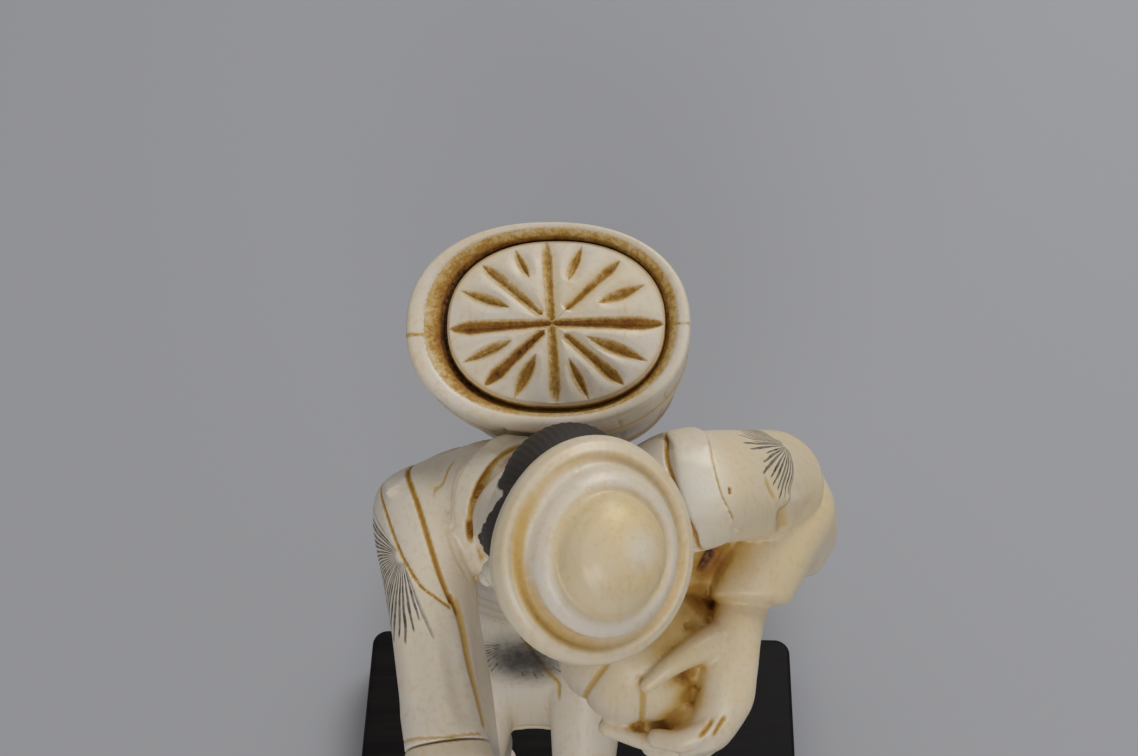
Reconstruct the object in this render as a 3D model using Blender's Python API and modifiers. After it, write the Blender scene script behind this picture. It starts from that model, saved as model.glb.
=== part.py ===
"""Okimono: a stooping pedlar in carved ivory, with a lidded tub on the back, on a dark wood plinth.

Sizes are in millimetres and scaled to metres when a mesh is made. The figure's places are
measured from the middle of the plinth's top: +X is the figure's left, -Y its front, +Z up.
"""

import math

import bmesh
import bpy
import numpy as np
from mathutils import Matrix, Vector
from mathutils.bvhtree import BVHTree

MM = 0.001
GAP = 0.3                      # clearance between neighbouring pieces

# Plinth
PLINTH_WIDTH = 84.0
PLINTH_DEPTH = 80.0
PLINTH_HEIGHT = 14.0
PLINTH_CORNER = 3.0
PLINTH_EDGE = 0.9
PLINTH_TURN = math.radians(-1.5)
COVE_LOW, COVE_HIGH, COVE_DEPTH = 5.0, 9.5, 1.3

# Tub on the back. Half sizes are given to the side and to the back.
TUB_RIM = Vector((-4.4, 24.8, 128.2))         # middle of the rim's top
TUB_UP = Vector((-0.075, -0.39, 0.92)).normalized()
TUB_TURN = math.radians(-1.0)
TUB_HALF = (19.2, 14.2)
TUB_OUTLINE = 2.25             # the power of its oval, a little squarer than an ellipse
TUB_LENGTH = 40.0
TUB_TAPER = 0.82
TUB_BELLY = 0.5
TUB_FLOOR = 3.0
HOOP = 0.35
HOOPS = ((0.12, 0.24), (0.66, 0.78))          # from and to, as parts of the length
MOUTH_HALF = (15.4, 12.2)
MOUTH_SHIFT = (0.9, 0.3)
LID_SEAT = 3.4                 # the ledge's depth below the rim's top
LEDGE = 1.7
LID_HALF = (14.8, 11.5)
LID_TURN = 4.0                 # degrees, of the cuts against the tub
LID_SHIFT = (1.1, 0.3)
LID_THICK = 2.2
LID_DOME = 1.5

# Head and hat
HEAD = Vector((-2.4, -4.6, 121.2))
FACING = Vector((0.428, -0.598, -0.678)).normalized()
CROWN = Vector((0.446, -0.513, 0.733)).normalized()
HEAD_HALF = (9.4, 11.0, 12.6)                 # to the side, to the front, up
NAPE = 11.6                    # how far the skull goes back
BUN = ((-3.4, -7.0, 1.2), (8.2, 6.2, 5.2))    # the hair's knot: its middle and half sizes
HAT_DENT = 0.09                # what the rim loses over the nape
HAT_DENT_AT = math.radians(-66)
HAT_LIFT = 7.0
HAT_RADIUS = 13.9
HAT_OVAL = 1.05

# Places on the figure that several parts share
RIGHT_CUFF = (-17.6, -22.6, 96.6)
RIGHT_AHEAD = Vector((1.2, -8.8, -1.6)).normalized()
LEFT_CUFF = (26.4, 8.6, 79.0)
MELON = (9.4, 5.2, 70.8)
MELON_RADIUS = 12.9
RIBS = 8
RIB_TURN = math.radians(1.5)

FIGURE_VOXEL = 0.75
FIGURE_TRIANGLES = 5450
HAND_VOXEL = 0.4
HAND_TRIANGLES = 900


def clear_scene():
    for obj in list(bpy.data.objects):
        bpy.data.objects.remove(obj, do_unlink=True)
    for group in list(bpy.data.collections):
        bpy.data.collections.remove(group)


# ---------------------------------------------------------------- tools

def smooth_rows(rows, steps):
    """Rows of numbers drawn through the given ones by a Catmull-Rom curve."""
    rows = np.array(rows, float)
    ends = np.vstack([2 * rows[0] - rows[1], rows, 2 * rows[-1] - rows[-2]])
    drawn = []
    for before, start, stop, after in zip(ends, ends[1:], ends[2:], ends[3:]):
        for step in range(steps):
            t = step / steps
            drawn.append(
                0.5 * (2 * start + (stop - before) * t
                       + (2 * before - 5 * start + 4 * stop - after) * t ** 2
                       + (3 * start - before - 3 * stop + after) * t ** 3)
            )
    drawn.append(rows[-1])
    return np.array(drawn)


def unit(vector):
    vector = np.array(vector, float)
    return vector / np.linalg.norm(vector)


def with_caps(rows, start, end, rings=3):
    """The rows with a rounded end of the given height before the first and after the last."""
    rows = list(rows)
    for height, near, far, order in ((start, 0, 1, -1), (end, -1, -2, 1)):
        if not height:
            continue
        out = unit(rows[near][:3] - rows[far][:3]) * height
        added = []
        for ring in range(1, rings + 1):
            turn = math.radians(86) * ring / rings
            row = rows[near].copy()
            row[:3] += out * math.sin(turn)
            row[3:12] *= math.cos(turn)
            added.append(row)
        rows = rows + added if order == 1 else added[::-1] + rows
    return rows


def loft(rows, sides=20, steps=3, caps=(0, 0), fold=None):
    """A closed form through oval rings. A row is the ring's middle, its half sizes as three
    vectors (side, front, back) and the power of its outline, 2 for an ellipse."""
    rows = smooth_rows(rows, steps)
    count = len(rows)
    places = np.linspace(0, 1, count)
    if fold:
        around = np.arange(sides) / sides * math.tau
        scales = [fold(place, around) for place in places]
    else:
        scales = [np.ones(sides)] * count
    first = int(bool(caps[0])) * 3
    rows = with_caps(rows, *caps)
    form = bmesh.new()
    bmesh.ops.create_circle(form, cap_ends=True, segments=sides, radius=1)
    form.faces.ensure_lookup_table()
    end = form.faces[0]
    first_ring = end.verts[:]
    for index, row in enumerate(rows):
        if index:
            end = bmesh.ops.extrude_discrete_faces(form, faces=[end])["faces"][0]
        scale = scales[min(max(index - first, 0), count - 1)]
        middle, side, front, back, power = row[:3], row[3:6], row[6:9], row[9:12], row[12]
        for turn, vert in enumerate(end.verts):
            angle = turn / sides * math.tau
            cos, sin = math.cos(angle), math.sin(angle)
            along = math.copysign(abs(cos) ** (2 / power), cos)
            out = abs(sin) ** (2 / power)
            vert.co = middle + scale[turn] * (side * along + (front if sin >= 0 else back) * out)
    form.faces.new(first_ring)
    return outwards(form)


def outwards(form):
    """Turns the faces of a closed form out."""
    bmesh.ops.recalc_face_normals(form, faces=form.faces)
    if form.calc_volume(signed=True) < 0:
        bmesh.ops.reverse_faces(form, faces=form.faces)
    return form


def body_row(middle, wide, front, back, power=2.3, turn=0.0):
    """A level ring for the trunk and skirt, turned about Z by an angle."""
    cos, sin = math.cos(turn), math.sin(turn)
    return [*middle, wide * cos, wide * sin, 0, front * sin, -front * cos, 0,
            -back * sin, back * cos, 0, power]


def limb_rows(path, across, over, under, hangs=None, power=2.0, upright=(0, 0, 1)):
    """Rings along a path, their tops towards `upright`. What is under the path is square to
    it, or hangs in the directions given in `hangs`."""
    path = np.array(path, float)
    rows = []
    for index, point in enumerate(path):
        ahead = unit(path[min(index + 1, len(path) - 1)] - path[max(index - 1, 0)])
        side = unit(np.cross(ahead, upright))
        top = np.cross(side, ahead)
        down = unit(hangs[index]) if hangs else -top
        rows.append([*point, *(side * across[index]), *(top * over[index]),
                     *(down * under[index]), power])
    return rows


def tube(path, radii, sides=10, steps=3, upright=(0, 0, 1)):
    """A round limb or finger along a path."""
    rows = limb_rows(path, radii, radii, radii, upright=upright)
    return loft(rows, sides, steps, (radii[0], radii[-1]))


def ball(middle, half, columns=16, rows=10, matrix=None):
    form = bmesh.new()
    bmesh.ops.create_uvsphere(form, u_segments=columns, v_segments=rows, radius=1)
    bmesh.ops.scale(form, vec=half, verts=form.verts)
    if matrix:
        bmesh.ops.transform(form, matrix=matrix, verts=form.verts)
    bmesh.ops.translate(form, vec=middle, verts=form.verts)
    return form


def turned(profile, steps, oval=1.0):
    """A profile of (radius, height) points spun round Z, then squeezed along Y."""
    form = bmesh.new()
    verts = [form.verts.new((radius, 0, height)) for radius, height in profile]
    edges = [form.edges.new(pair) for pair in zip(verts, verts[1:])]
    bmesh.ops.spin(form, geom=verts + edges, cent=(0, 0, 0), axis=(0, 0, 1),
                   angle=math.tau, steps=steps, use_merge=True)
    bmesh.ops.remove_doubles(form, verts=form.verts, dist=0.001)
    bmesh.ops.scale(form, vec=(1, oval, 1), verts=form.verts)
    return outwards(form)


def frame_matrix(side, front, up, origin):
    """A matrix that takes X to side, Y to front, Z to up and the origin to its place."""
    matrix = Matrix((side, front, up)).transposed().to_4x4()
    matrix.translation = origin
    return matrix


def joined(forms):
    """Several forms in one bmesh. They're still separate shells."""
    whole = bmesh.new()
    for form in forms:
        mesh = bpy.data.meshes.new("form")
        form.to_mesh(mesh)
        whole.from_mesh(mesh)
        bpy.data.meshes.remove(mesh)
        form.free()
    return whole


def tree_of(forms):
    """A search tree of copies of the forms, for draping bands over them."""
    whole = joined([form.copy() for form in forms])
    tree = BVHTree.FromBMesh(whole)
    whole.free()
    return tree


def band(tree, core, points, width, thick, steps=4, sides=8, sink=0.6):
    """A flat strip that lies on the surface in `tree`. Each point is dropped on it along the
    line to the core."""
    core = Vector(core)
    rows = []
    path = smooth_rows(points, steps)
    spots = []
    for point in path:
        away = (Vector(point) - core).normalized()
        spot, normal, _, _ = tree.ray_cast(core + away * 90, -away)
        if spot is None:
            spot, normal = Vector(point), away
        spots.append((np.array(spot), np.array(normal)))
    for index, (spot, normal) in enumerate(spots):
        ahead = spots[min(index + 1, len(spots) - 1)][0] - spots[max(index - 1, 0)][0]
        side = unit(np.cross(unit(ahead), normal))
        up = unit(np.cross(side, unit(ahead)))
        rows.append([*spot, *(side * width / 2), *(up * thick), *(-up * sink), 4.0])
    return loft(rows, sides, 1)


def solid(name, form, material, group, voxel=None, triangles=None):
    """An object in metres, standing on the plinth's top. Shells are fused by a voxel remesh
    and thinned to a number of triangles."""
    bmesh.ops.scale(form, vec=(MM, MM, MM), verts=form.verts)
    mesh = bpy.data.meshes.new(name)
    form.to_mesh(mesh)
    form.free()
    obj = bpy.data.objects.new(name, mesh)
    obj.data.materials.append(material)
    group.objects.link(obj)
    if voxel:
        fuse = obj.modifiers.new("fuse", "REMESH")
        fuse.mode = "VOXEL"
        fuse.voxel_size = voxel * MM
        soften = obj.modifiers.new("soften", "SMOOTH")
        soften.factor = 0.5
        soften.iterations = 1
        apply_modifiers(obj)
        thin = obj.modifiers.new("thin", "DECIMATE")
        thin.ratio = triangles / sum(len(face.vertices) - 2 for face in obj.data.polygons)
        thin.use_collapse_triangulate = True
        apply_modifiers(obj)
    obj.data.shade_smooth()
    obj.data.set_sharp_from_angle(angle=math.radians(40))
    return obj


def apply_modifiers(obj):
    graph = bpy.context.evaluated_depsgraph_get()
    mesh = bpy.data.meshes.new_from_object(obj.evaluated_get(graph))
    old = obj.data
    obj.modifiers.clear()
    obj.data = mesh
    mesh.name = obj.name
    if old.users == 0:
        bpy.data.meshes.remove(old)


def as_cutter(name, form, material, tools):
    cutter = solid(name, form, material, tools)
    cutter.hide_render = True
    cutter.display_type = "WIRE"
    return cutter


def cut(obj, cutter):
    modifier = obj.modifiers.new(cutter.name, "BOOLEAN")
    modifier.operation = "DIFFERENCE"
    modifier.object = cutter
    modifier.solver = "EXACT"


def finish(name, colour, roughness):
    material = bpy.data.materials.new(name)
    material.use_nodes = True
    shader = material.node_tree.nodes["Principled BSDF"]
    shader.inputs["Base Color"].default_value = (*colour, 1)
    shader.inputs["Roughness"].default_value = roughness
    shader.inputs["Metallic"].default_value = 0
    material.diffuse_color = (*colour, 1)
    return material


# ---------------------------------------------------------------- plinth

def make_plinth(material, group):
    form = bmesh.new()
    bmesh.ops.create_cube(form, size=1)
    bmesh.ops.scale(form, vec=(PLINTH_WIDTH, PLINTH_DEPTH, PLINTH_HEIGHT), verts=form.verts)
    upright = [edge for edge in form.edges
               if abs(edge.verts[0].co.z - edge.verts[1].co.z) > 1]
    bmesh.ops.bevel(form, geom=upright, offset=PLINTH_CORNER, segments=3, profile=0.5,
                    affect="EDGES", material=-1)
    rims = [edge for edge in form.edges
            if abs(edge.verts[0].co.z - edge.verts[1].co.z) < 0.01]
    bmesh.ops.bevel(form, geom=rims, offset=PLINTH_EDGE, segments=2, profile=0.5,
                    affect="EDGES", material=-1)
    low = -PLINTH_HEIGHT / 2
    heights = np.linspace(COVE_LOW, COVE_HIGH, 5)
    for height in heights:
        bmesh.ops.bisect_plane(form, geom=form.verts[:] + form.edges[:] + form.faces[:],
                               plane_co=(0, 0, low + height), plane_no=(0, 0, 1))
    for vert in form.verts:
        rise = (vert.co.z - low - COVE_LOW) / (COVE_HIGH - COVE_LOW)
        if 0.01 < rise < 0.99:
            inset = COVE_DEPTH * math.sin(math.pi * rise)
            vert.co.x -= math.copysign(inset, vert.co.x)
            vert.co.y -= math.copysign(inset, vert.co.y)
    bmesh.ops.rotate(form, cent=(0, 0, 0), matrix=Matrix.Rotation(PLINTH_TURN, 3, "Z"),
                     verts=form.verts)
    bmesh.ops.translate(form, vec=(0, 0, low), verts=form.verts)
    return solid("plinth", form, material, group)


# ---------------------------------------------------------------- tub

def tub_frame():
    """X across the tub, Y to its back, Z along it with 0 at the rim's top."""
    side = Matrix.Rotation(TUB_TURN, 3, TUB_UP) @ Vector((1, 0, 0))
    side = (side - TUB_UP * side.dot(TUB_UP)).normalized()
    return frame_matrix(side, TUB_UP.cross(side), TUB_UP, TUB_RIM)


def oval(height, half, shift=(0, 0), power=TUB_OUTLINE):
    """A level ring of the tub or its lid."""
    return [*shift, height, half[0], 0, 0, 0, half[1], 0, 0, -half[1], 0, power]


def tub_outside(grow=0.0):
    """Rings from the tub's foot up to the rim. The seat in the figure's back is a grown copy."""
    rows = [oval(-TUB_LENGTH - grow, [half * TUB_TAPER - 1 for half in TUB_HALF])]
    rises = sorted([0.03, 0.4, 0.55, 0.9, *(edge + step for hoop in HOOPS
                                            for edge, step in zip(hoop, (-0.02, 0.02))),
                    *(edge for hoop in HOOPS for edge in hoop)])
    for rise in rises:
        on_hoop = grow or any(low <= rise <= high for low, high in HOOPS)
        swell = TUB_BELLY * math.sin(math.pi * rise) + grow + (HOOP if on_hoop else 0)
        taper = TUB_TAPER + (1 - TUB_TAPER) * rise
        rows.append(oval(-TUB_LENGTH * (1 - rise), [half * taper + swell for half in TUB_HALF]))
    rows.append(oval(-1.2, [half + grow for half in TUB_HALF]))
    return rows


def inset(half, by):
    return [size - by for size in half]


def make_tub(material, group):
    bore = inset(MOUTH_HALF, LEDGE)
    deep = [size * TUB_TAPER for size in bore]
    rows = tub_outside() + [
        oval(-0.3, inset(TUB_HALF, 0.5)), oval(0, inset(TUB_HALF, 1.3)),
        oval(-0.3, [size + 0.9 for size in MOUTH_HALF], MOUTH_SHIFT),
        oval(-1.3, MOUTH_HALF, MOUTH_SHIFT), oval(-LID_SEAT, MOUTH_HALF, MOUTH_SHIFT),
        oval(-LID_SEAT, bore, MOUTH_SHIFT), oval(-LID_SEAT - 1.5, inset(bore, 0.3), MOUTH_SHIFT),
        oval(-TUB_LENGTH + TUB_FLOOR + 1.5, deep), oval(-TUB_LENGTH + TUB_FLOOR, inset(deep, 1.5)),
    ]
    form = loft(rows, 32, 1)
    bmesh.ops.transform(form, matrix=tub_frame(), verts=form.verts)
    return solid("tub", form, material, group)


def lid_cuts():
    """Each cut as (angle, inner end, outer end, half width, depth), ends as parts of the radius."""
    cuts = [(0, -0.96, 0.96, 0.85, 1.1), (90, -0.98, 0.98, 0.65, 0.9)]
    for quarter in range(4):
        mirror = 1 if quarter % 2 == 0 else -1
        base = quarter * 90 if mirror == 1 else (quarter + 1) * 90
        cuts += [(base + mirror * angle, inner, outer, half, deep)
                 for angle, inner, outer, half, deep in
                 ((48, 0.15, 0.98, 0.62, 0.9), (27, 0.46, 0.93, 0.62, 0.8),
                  (70, 0.55, 0.95, 0.55, 0.8))]
    return cuts


def lid_top(part):
    """The lid's height over its ledge side at a part of its radius."""
    return -LID_SEAT + GAP + LID_THICK + LID_DOME * (1 - part ** 2)


def make_lid(material, group, tools):
    floor = -LID_SEAT + GAP
    rows = [oval(floor, inset(LID_HALF, 0.4)), oval(floor + 0.4, LID_HALF),
            oval(lid_top(1) - 0.5, LID_HALF), oval(lid_top(1), inset(LID_HALF, 0.5))]
    rows += [oval(lid_top(part), [size * part for size in LID_HALF])
             for part in (0.85, 0.65, 0.4, 0.15)]
    form = loft(rows, 36, 1)
    place = tub_frame() @ Matrix.Translation((*LID_SHIFT, 0))
    bmesh.ops.transform(form, matrix=place, verts=form.verts)
    lid = solid("tub_lid", form, material, group)
    radius, squeeze = LID_HALF[0], LID_HALF[1] / LID_HALF[0]
    for number, (angle, inner, outer, half, deep) in enumerate(lid_cuts()):
        middle, reach = (inner + outer) / 2, (outer - inner) / 2
        slope = math.atan2(lid_top(max(inner, 0)) - lid_top(outer), radius * (outer - inner))
        form = ball((0, 0, 0), (radius * reach * 1.04, half, deep), 8, 6)
        lean = Matrix.Rotation(slope if inner > 0 else 0, 4, "Y")
        turn = Matrix.Rotation(math.radians(angle + LID_TURN), 4, "Z")
        height = (lid_top(max(inner, 0)) + lid_top(outer)) / 2 + (0.35 if inner < 0 else 0.1)
        spot = Matrix.Translation((radius * middle, 0, height))
        bmesh.ops.transform(form, matrix=Matrix.Diagonal((1, squeeze, 1, 1)) @ turn @ spot @ lean,
                            verts=form.verts)
        bmesh.ops.transform(form, matrix=place, verts=form.verts)
        cut(lid, as_cutter(f"lid_cut_{number:02d}", form, material, tools))
    return lid


# ---------------------------------------------------------------- figure

def trunk():
    def fold(place, around):
        depth = 0.035 * np.clip(1.4 - 2.2 * abs(place - 0.5), 0, 1)
        return 1 + depth * np.cos(5 * around + 5 * place)
    rows = [
        body_row((-5, 20.0, 60), 15.5, 11, 11.5),
        body_row((-5, 20.5, 70), 15.0, 10.5, 11),
        body_row((-5, 18.5, 78), 14.0, 10, 10.5),
        body_row((-4.6, 16.0, 88), 15.8, 10.5, 11),
        body_row((-4.2, 13.0, 97), 18.5, 11, 11),
        body_row((-4.4, 10.8, 105), 19.5, 10.5, 10),
        body_row((-4.6, 10.2, 110), 17.0, 8.5, 8),
        body_row((-4.8, 10.2, 114.5), 11.5, 6, 5),
        body_row((-4.8, 10.4, 117), 7.0, 3.5, 3),
    ]
    return loft(rows, 28, 3, fold=fold)


def skirt():
    def fold(place, around):
        depth = 0.075 * place ** 1.2
        return 1 + depth * np.cos(9 * around + 1.1 * np.sin(2 * around) + 1.5 * place)
    rows = [
        body_row((-5, 19.5, 74), 14.5, 10.5, 11),
        body_row((-5, 19.0, 66), 16.5, 12, 12),
        body_row((-6, 18.0, 56), 18.0, 12.5, 13.5),
        body_row((-6.5, 17.5, 46), 19.5, 13.5, 15),
        body_row((-7, 17.5, 37), 20.5, 14.0, 16.5),
    ]
    return loft(rows, 36, 3, fold=fold)


def leg(hip, knee, ankle):
    hip, knee, ankle = (np.array(point, float) for point in (hip, knee, ankle))
    calf = knee + (ankle - knee) * 0.35 + np.array((0, 1.8, 0))
    thigh = hip + (knee - hip) * 0.55 + np.array((0, -1.0, 1.5))
    path = [hip, thigh, knee, calf, knee + (ankle - knee) * 0.75, ankle]
    return tube(path, [8.5, 6.2, 4.9, 5.0, 3.8, 3.5], 14, 3, upright=(0, -1, 0))


def foot(ankle, turn):
    """A bare foot on a straw sandal, heel behind the ankle, toes to the front."""
    heel = 4.5
    forms = []
    rows = []
    for along, wide, high in ((-heel, 2.9, 3.4), (-2.0, 3.3, 5.6), (1.5, 3.4, 6.6), (5.0, 3.9, 4.9),
                              (9.0, 4.4, 3.2), (12.5, 4.1, 2.3)):
        rows.append([0, -along, 1.4, wide, 0, 0, 0, 0, high - 1.2, 0, 0, -0.6, 2.2])
    forms.append(loft(rows, 12, 2, (1.2, 1.4)))
    for toe in range(5):
        reach = 14.6 - 0.55 * toe - (0.0 if toe else -0.4)
        across = -3.2 + 1.6 * toe
        size = 1.25 if toe == 0 else 0.95
        forms.append(tube([(-across, -11.5, 2.3), (-across * 1.04, -13.4, 2.5),
                           (-across * 1.04, -reach, 2.0)], [size, size, size * 0.9], 6, 1))
    sole = []
    for along, wide in ((-6.6, 2.6), (-5, 3.8), (0, 4.4), (6, 4.9), (12, 5.1), (15.4, 3.4)):
        sole.append([0, -along, 1.0, wide, 0, 0, 0, 0, 0.9, 0, 0, -0.9, 3.0])
    forms.append(loft(sole, 12, 2, (0.8, 1.0)))
    forms.append(tube([(-4.4, -4.0, 1.4), (-3.2, -3.0, 5.8), (0, -2.4, 7.6), (3.2, -3.0, 5.8),
                       (4.4, -4.0, 1.4)], [0.8] * 5, 6, 2))
    forms.append(tube([(-4.2, -5.0, 1.4), (-2.2, -8.5, 4.7), (0.6, -12.2, 3.0)], [0.75] * 3, 6, 2))
    forms.append(tube([(4.2, -5.0, 1.4), (2.8, -8.5, 4.7), (0.6, -12.2, 3.0)], [0.75] * 3, 6, 2))
    place = Matrix.Translation((ankle[0], ankle[1], GAP)) @ Matrix.Rotation(turn, 4, "Z")
    for form in forms:
        bmesh.ops.transform(form, matrix=place, verts=form.verts)
    return forms


def right_sleeve(rings=5):
    """The sleeve with the bag that hangs from the arm, or only its first rings."""
    past_cuff = Vector(RIGHT_CUFF) + RIGHT_AHEAD * 2
    path = [(-14, 11, 104), (-21.2, 8.0, 104.6), (-20.6, -3.0, 102.6), (-19.4, -13.0, 99.8),
            past_cuff]
    hang = (0.22, 0.10, -1)
    rows = limb_rows(path, [8, 7.9, 5.9, 5.5, 5.6], [8, 7.9, 6.4, 5.6, 5.2],
                     [8, 8.5, 13.0, 19.0, 21.0], [hang] * 5, 2.2)[:rings]

    def fold(place, around):
        low = np.clip(-np.sin(around), 0, 1)
        return 1 + 0.10 * low * place * np.cos(11 * place + 3 * around)
    return loft(rows, 24, 4, (3, 0), fold)


def left_sleeve():
    """The upper arm, the bent forearm with the bag that hangs from it, and the robe's fold
    between the bag and the trunk."""
    path = [(9, 11, 104), (15.8, 12.8, 104.8), (23.5, 18.0, 97.5), (30.0, 24.0, 88.0)]
    upper = loft(limb_rows(path, [8, 8.2, 8.0, 8.2], [8, 7.9, 7.8, 7.6], [8, 8.5, 9.0, 9.0]),
                 22, 4, (3, 5))
    path = [(31.6, 29.0, 82.5), (31.8, 22.5, 82.8), (28.4, 14.5, 81.2), LEFT_CUFF]
    hangs = [(0.20, 0.0, -1), (0.22, 0.10, -1), (0.15, 0.30, -1), (0.05, 0.35, -0.9)]
    rows = limb_rows(path, [6.2, 8.2, 7.4, 6.2], [5, 7.2, 6.4, 5.2], [18, 25.0, 16.0, 7.0],
                     hangs, 2.3)
    for row, side in zip(rows[2:], ((-7.2, 1.4, 0), (-6.2, 0.4, 0))):
        row[3:6] = side

    def fold(place, around):
        low = np.clip(-np.sin(around), 0, 1)
        return 1 + 0.09 * low * np.cos(12 * place + 3 * around)
    between = limb_rows([(4, 14.5, 96), (12, 15.0, 94), (19, 16.5, 91), (26, 19.5, 87)], [3] * 4,
                        [2.5] * 4, [22, 25, 27, 24], [(0.05, -0.3, -1)] * 4)
    return [upper, loft(rows, 24, 4, (5, 1.2), fold), loft(between, 16, 3, (2, 2))]


def head_matrix(lift=0.0):
    return frame_matrix(FACING.cross(CROWN), FACING, CROWN, HEAD + CROWN * lift)


def head():
    """Skull, face and neck in the head's own axes: X to its right, Y to its front, Z up."""
    wide, deep, high = HEAD_HALF
    form = bmesh.new()
    bmesh.ops.create_uvsphere(form, u_segments=32, v_segments=22, radius=1)
    for vert in form.verts:
        x, y, z = vert.co
        jaw = max(0.0, -z)
        width = 1 - 0.28 * jaw ** 1.5
        front = 1 - 0.10 * jaw if y > 0 else 1 - 0.22 * jaw
        vert.co = (wide * x * width, (deep if y > 0 else NAPE) * y * front, high * z)
    features = [
        ((0, 10.4, -0.6), (1.25, 2.3, 3.4)),
        ((0, 11.2, -3.3), (1.9, 1.9, 1.35)),
        ((0, 9.9, -6.3), (2.9, 1.5, 0.9)),
        ((0, 9.7, -7.7), (2.3, 1.5, 0.9)),
        ((0, 7.9, -10.4), (3.4, 2.5, 2.2)),
        ((0, 9.2, 3.0), (6.2, 1.7, 1.2)),
    ]
    for side in (-1, 1):
        features += [((side * 9.2, -0.4, -1.8), (1.2, 2.1, 3.2)),
                     ((side * 3.7, 8.9, 0.1), (2.2, 1.7, 1.35)),
                     ((side * 5.2, 7.0, -3.4), (2.8, 2.0, 2.3))]
    forms = [form, ball(*BUN)] + [ball(middle, half, 12, 8) for middle, half in features]
    for piece in forms:
        bmesh.ops.transform(piece, matrix=head_matrix(), verts=piece.verts)
    neck = loft([
        body_row((-4.2, 6.5, 103), 10.0, 8.5, 8, 2),
        body_row((-4.4, 4.5, 111), 10.0, 8.5, 8, 2),
        body_row((-4.2, 0.5, 118), 9.6, 8, 9.5, 2),
        body_row((-3.4, -3.0, 123), 8.5, 7, 9.5, 2),
    ], 18, 3)
    return forms + [neck]


def hat():
    profile = [(0, -1.5), (9.5, -1.6), (12.2, -1.2), (13.3, 0.2), (13.6, 1.8), (13.1, 3.3),
               (12.0, 4.3), (11.1, 4.4), (10.5, 3.9), (10.1, 4.5), (9.6, 5.6), (8.6, 6.5),
               (7.6, 6.7), (7.1, 6.9), (6.6, 8.0), (5.4, 9.4), (3.6, 10.5), (1.6, 11.1),
               (0, 11.3)]
    form = turned([(radius * HAT_RADIUS / 13.6, height) for radius, height in profile], 36,
                  HAT_OVAL)
    for vert in form.verts:
        away = math.remainder(math.atan2(vert.co.y, vert.co.x) - HAT_DENT_AT, math.tau)
        share = HAT_DENT * math.exp(-(away / 0.75) ** 2) * min(1, vert.co.xy.length / 9)
        vert.co.xy *= 1 - share
    bmesh.ops.transform(form, matrix=head_matrix(HAT_LIFT), verts=form.verts)
    return form


def melon():
    """A round ribbed fruit, its stalk end up."""
    form = bmesh.new()
    bmesh.ops.create_uvsphere(form, u_segments=36, v_segments=18, radius=1)
    for vert in form.verts:
        x, y, z = vert.co
        around = math.atan2(y, x)
        flank = math.hypot(x, y)
        rib = 1 - 0.05 * flank * abs(math.cos(RIBS / 2 * (around - RIB_TURN))) ** 6
        dip = 0.12 * math.exp(-(flank / 0.3) ** 2)
        vert.co = MELON_RADIUS * Vector((x * rib, y * rib, 0.9 * z * (1 - dip)))
    lean = Matrix.Rotation(math.radians(13), 4, "X")
    bmesh.ops.transform(form, matrix=Matrix.Translation(MELON) @ lean, verts=form.verts)
    return form


def left_hand():
    """The bare wrist, the palm against the melon's flank, thumb over it, fingers round it."""
    path = [(26.0, 11, 77.2), (24.0, 4.5, 76.6), (22.6, -1.0, 75.0), (21.9, -5.2, 72.4),
            (19.4, -8.8, 69.6), (15.6, -10.2, 68.0)]
    palm = limb_rows(path, [4.1, 4.1, 4.6, 4.4, 3.4, 2.4], [3.8, 3.7, 3.7, 3.6, 3.0, 2.4],
                     [4.2, 4.4, 5.6, 7.2, 7.4, 6.6])
    thumb = [(23.0, 3.6, 75.4), (18.4, 0.6, 78.6), (14.0, -2.6, 79.6), (10.2, -5.2, 78.0)]
    forms = [loft(palm, 16, 3, (1, 1.5)), tube(thumb, [3.4, 2.5, 1.7, 1.2], 10, 3)]
    forms.append(ball((17.0, -5.6, 66.0), (4.4, 5.0, 5.4), 12, 8))
    fingers = (
        (1.9, [(22.6, -4.4, 73.8), (20.4, -8.8, 72.0), (15.8, -10.8, 70.2), (11.9, -9.8, 68.6)]),
        (1.9, [(22.6, -4.4, 70.7), (20.0, -8.6, 68.2), (12.4, -8.8, 65.0), (4.6, -6.2, 64.3)]),
        (1.8, [(22.6, -4.4, 67.6), (20.2, -8.8, 65.4), (15.2, -10.2, 63.8), (11.2, -9.0, 63.0)]),
        (1.6, [(22.6, -4.4, 64.5), (20.2, -8.4, 62.6), (15.8, -9.6, 61.0), (12.6, -8.6, 60.4)]),
    )
    for size, path in fingers:
        forms.append(tube(path, [size * 1.1, size, size * 0.92, size * 0.8], 10, 3))
    return forms


def sash():
    rows = [
        body_row((-5, 19.6, 70.5), 16.2, 11.8, 12.2),
        body_row((-5, 19.4, 72), 16.6, 12.2, 12.4),
        body_row((-5, 19.0, 77), 15.6, 11.6, 12.0),
        body_row((-5, 18.6, 79), 15.2, 11.0, 11.6),
    ]
    return loft(rows, 30, 2)


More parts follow.
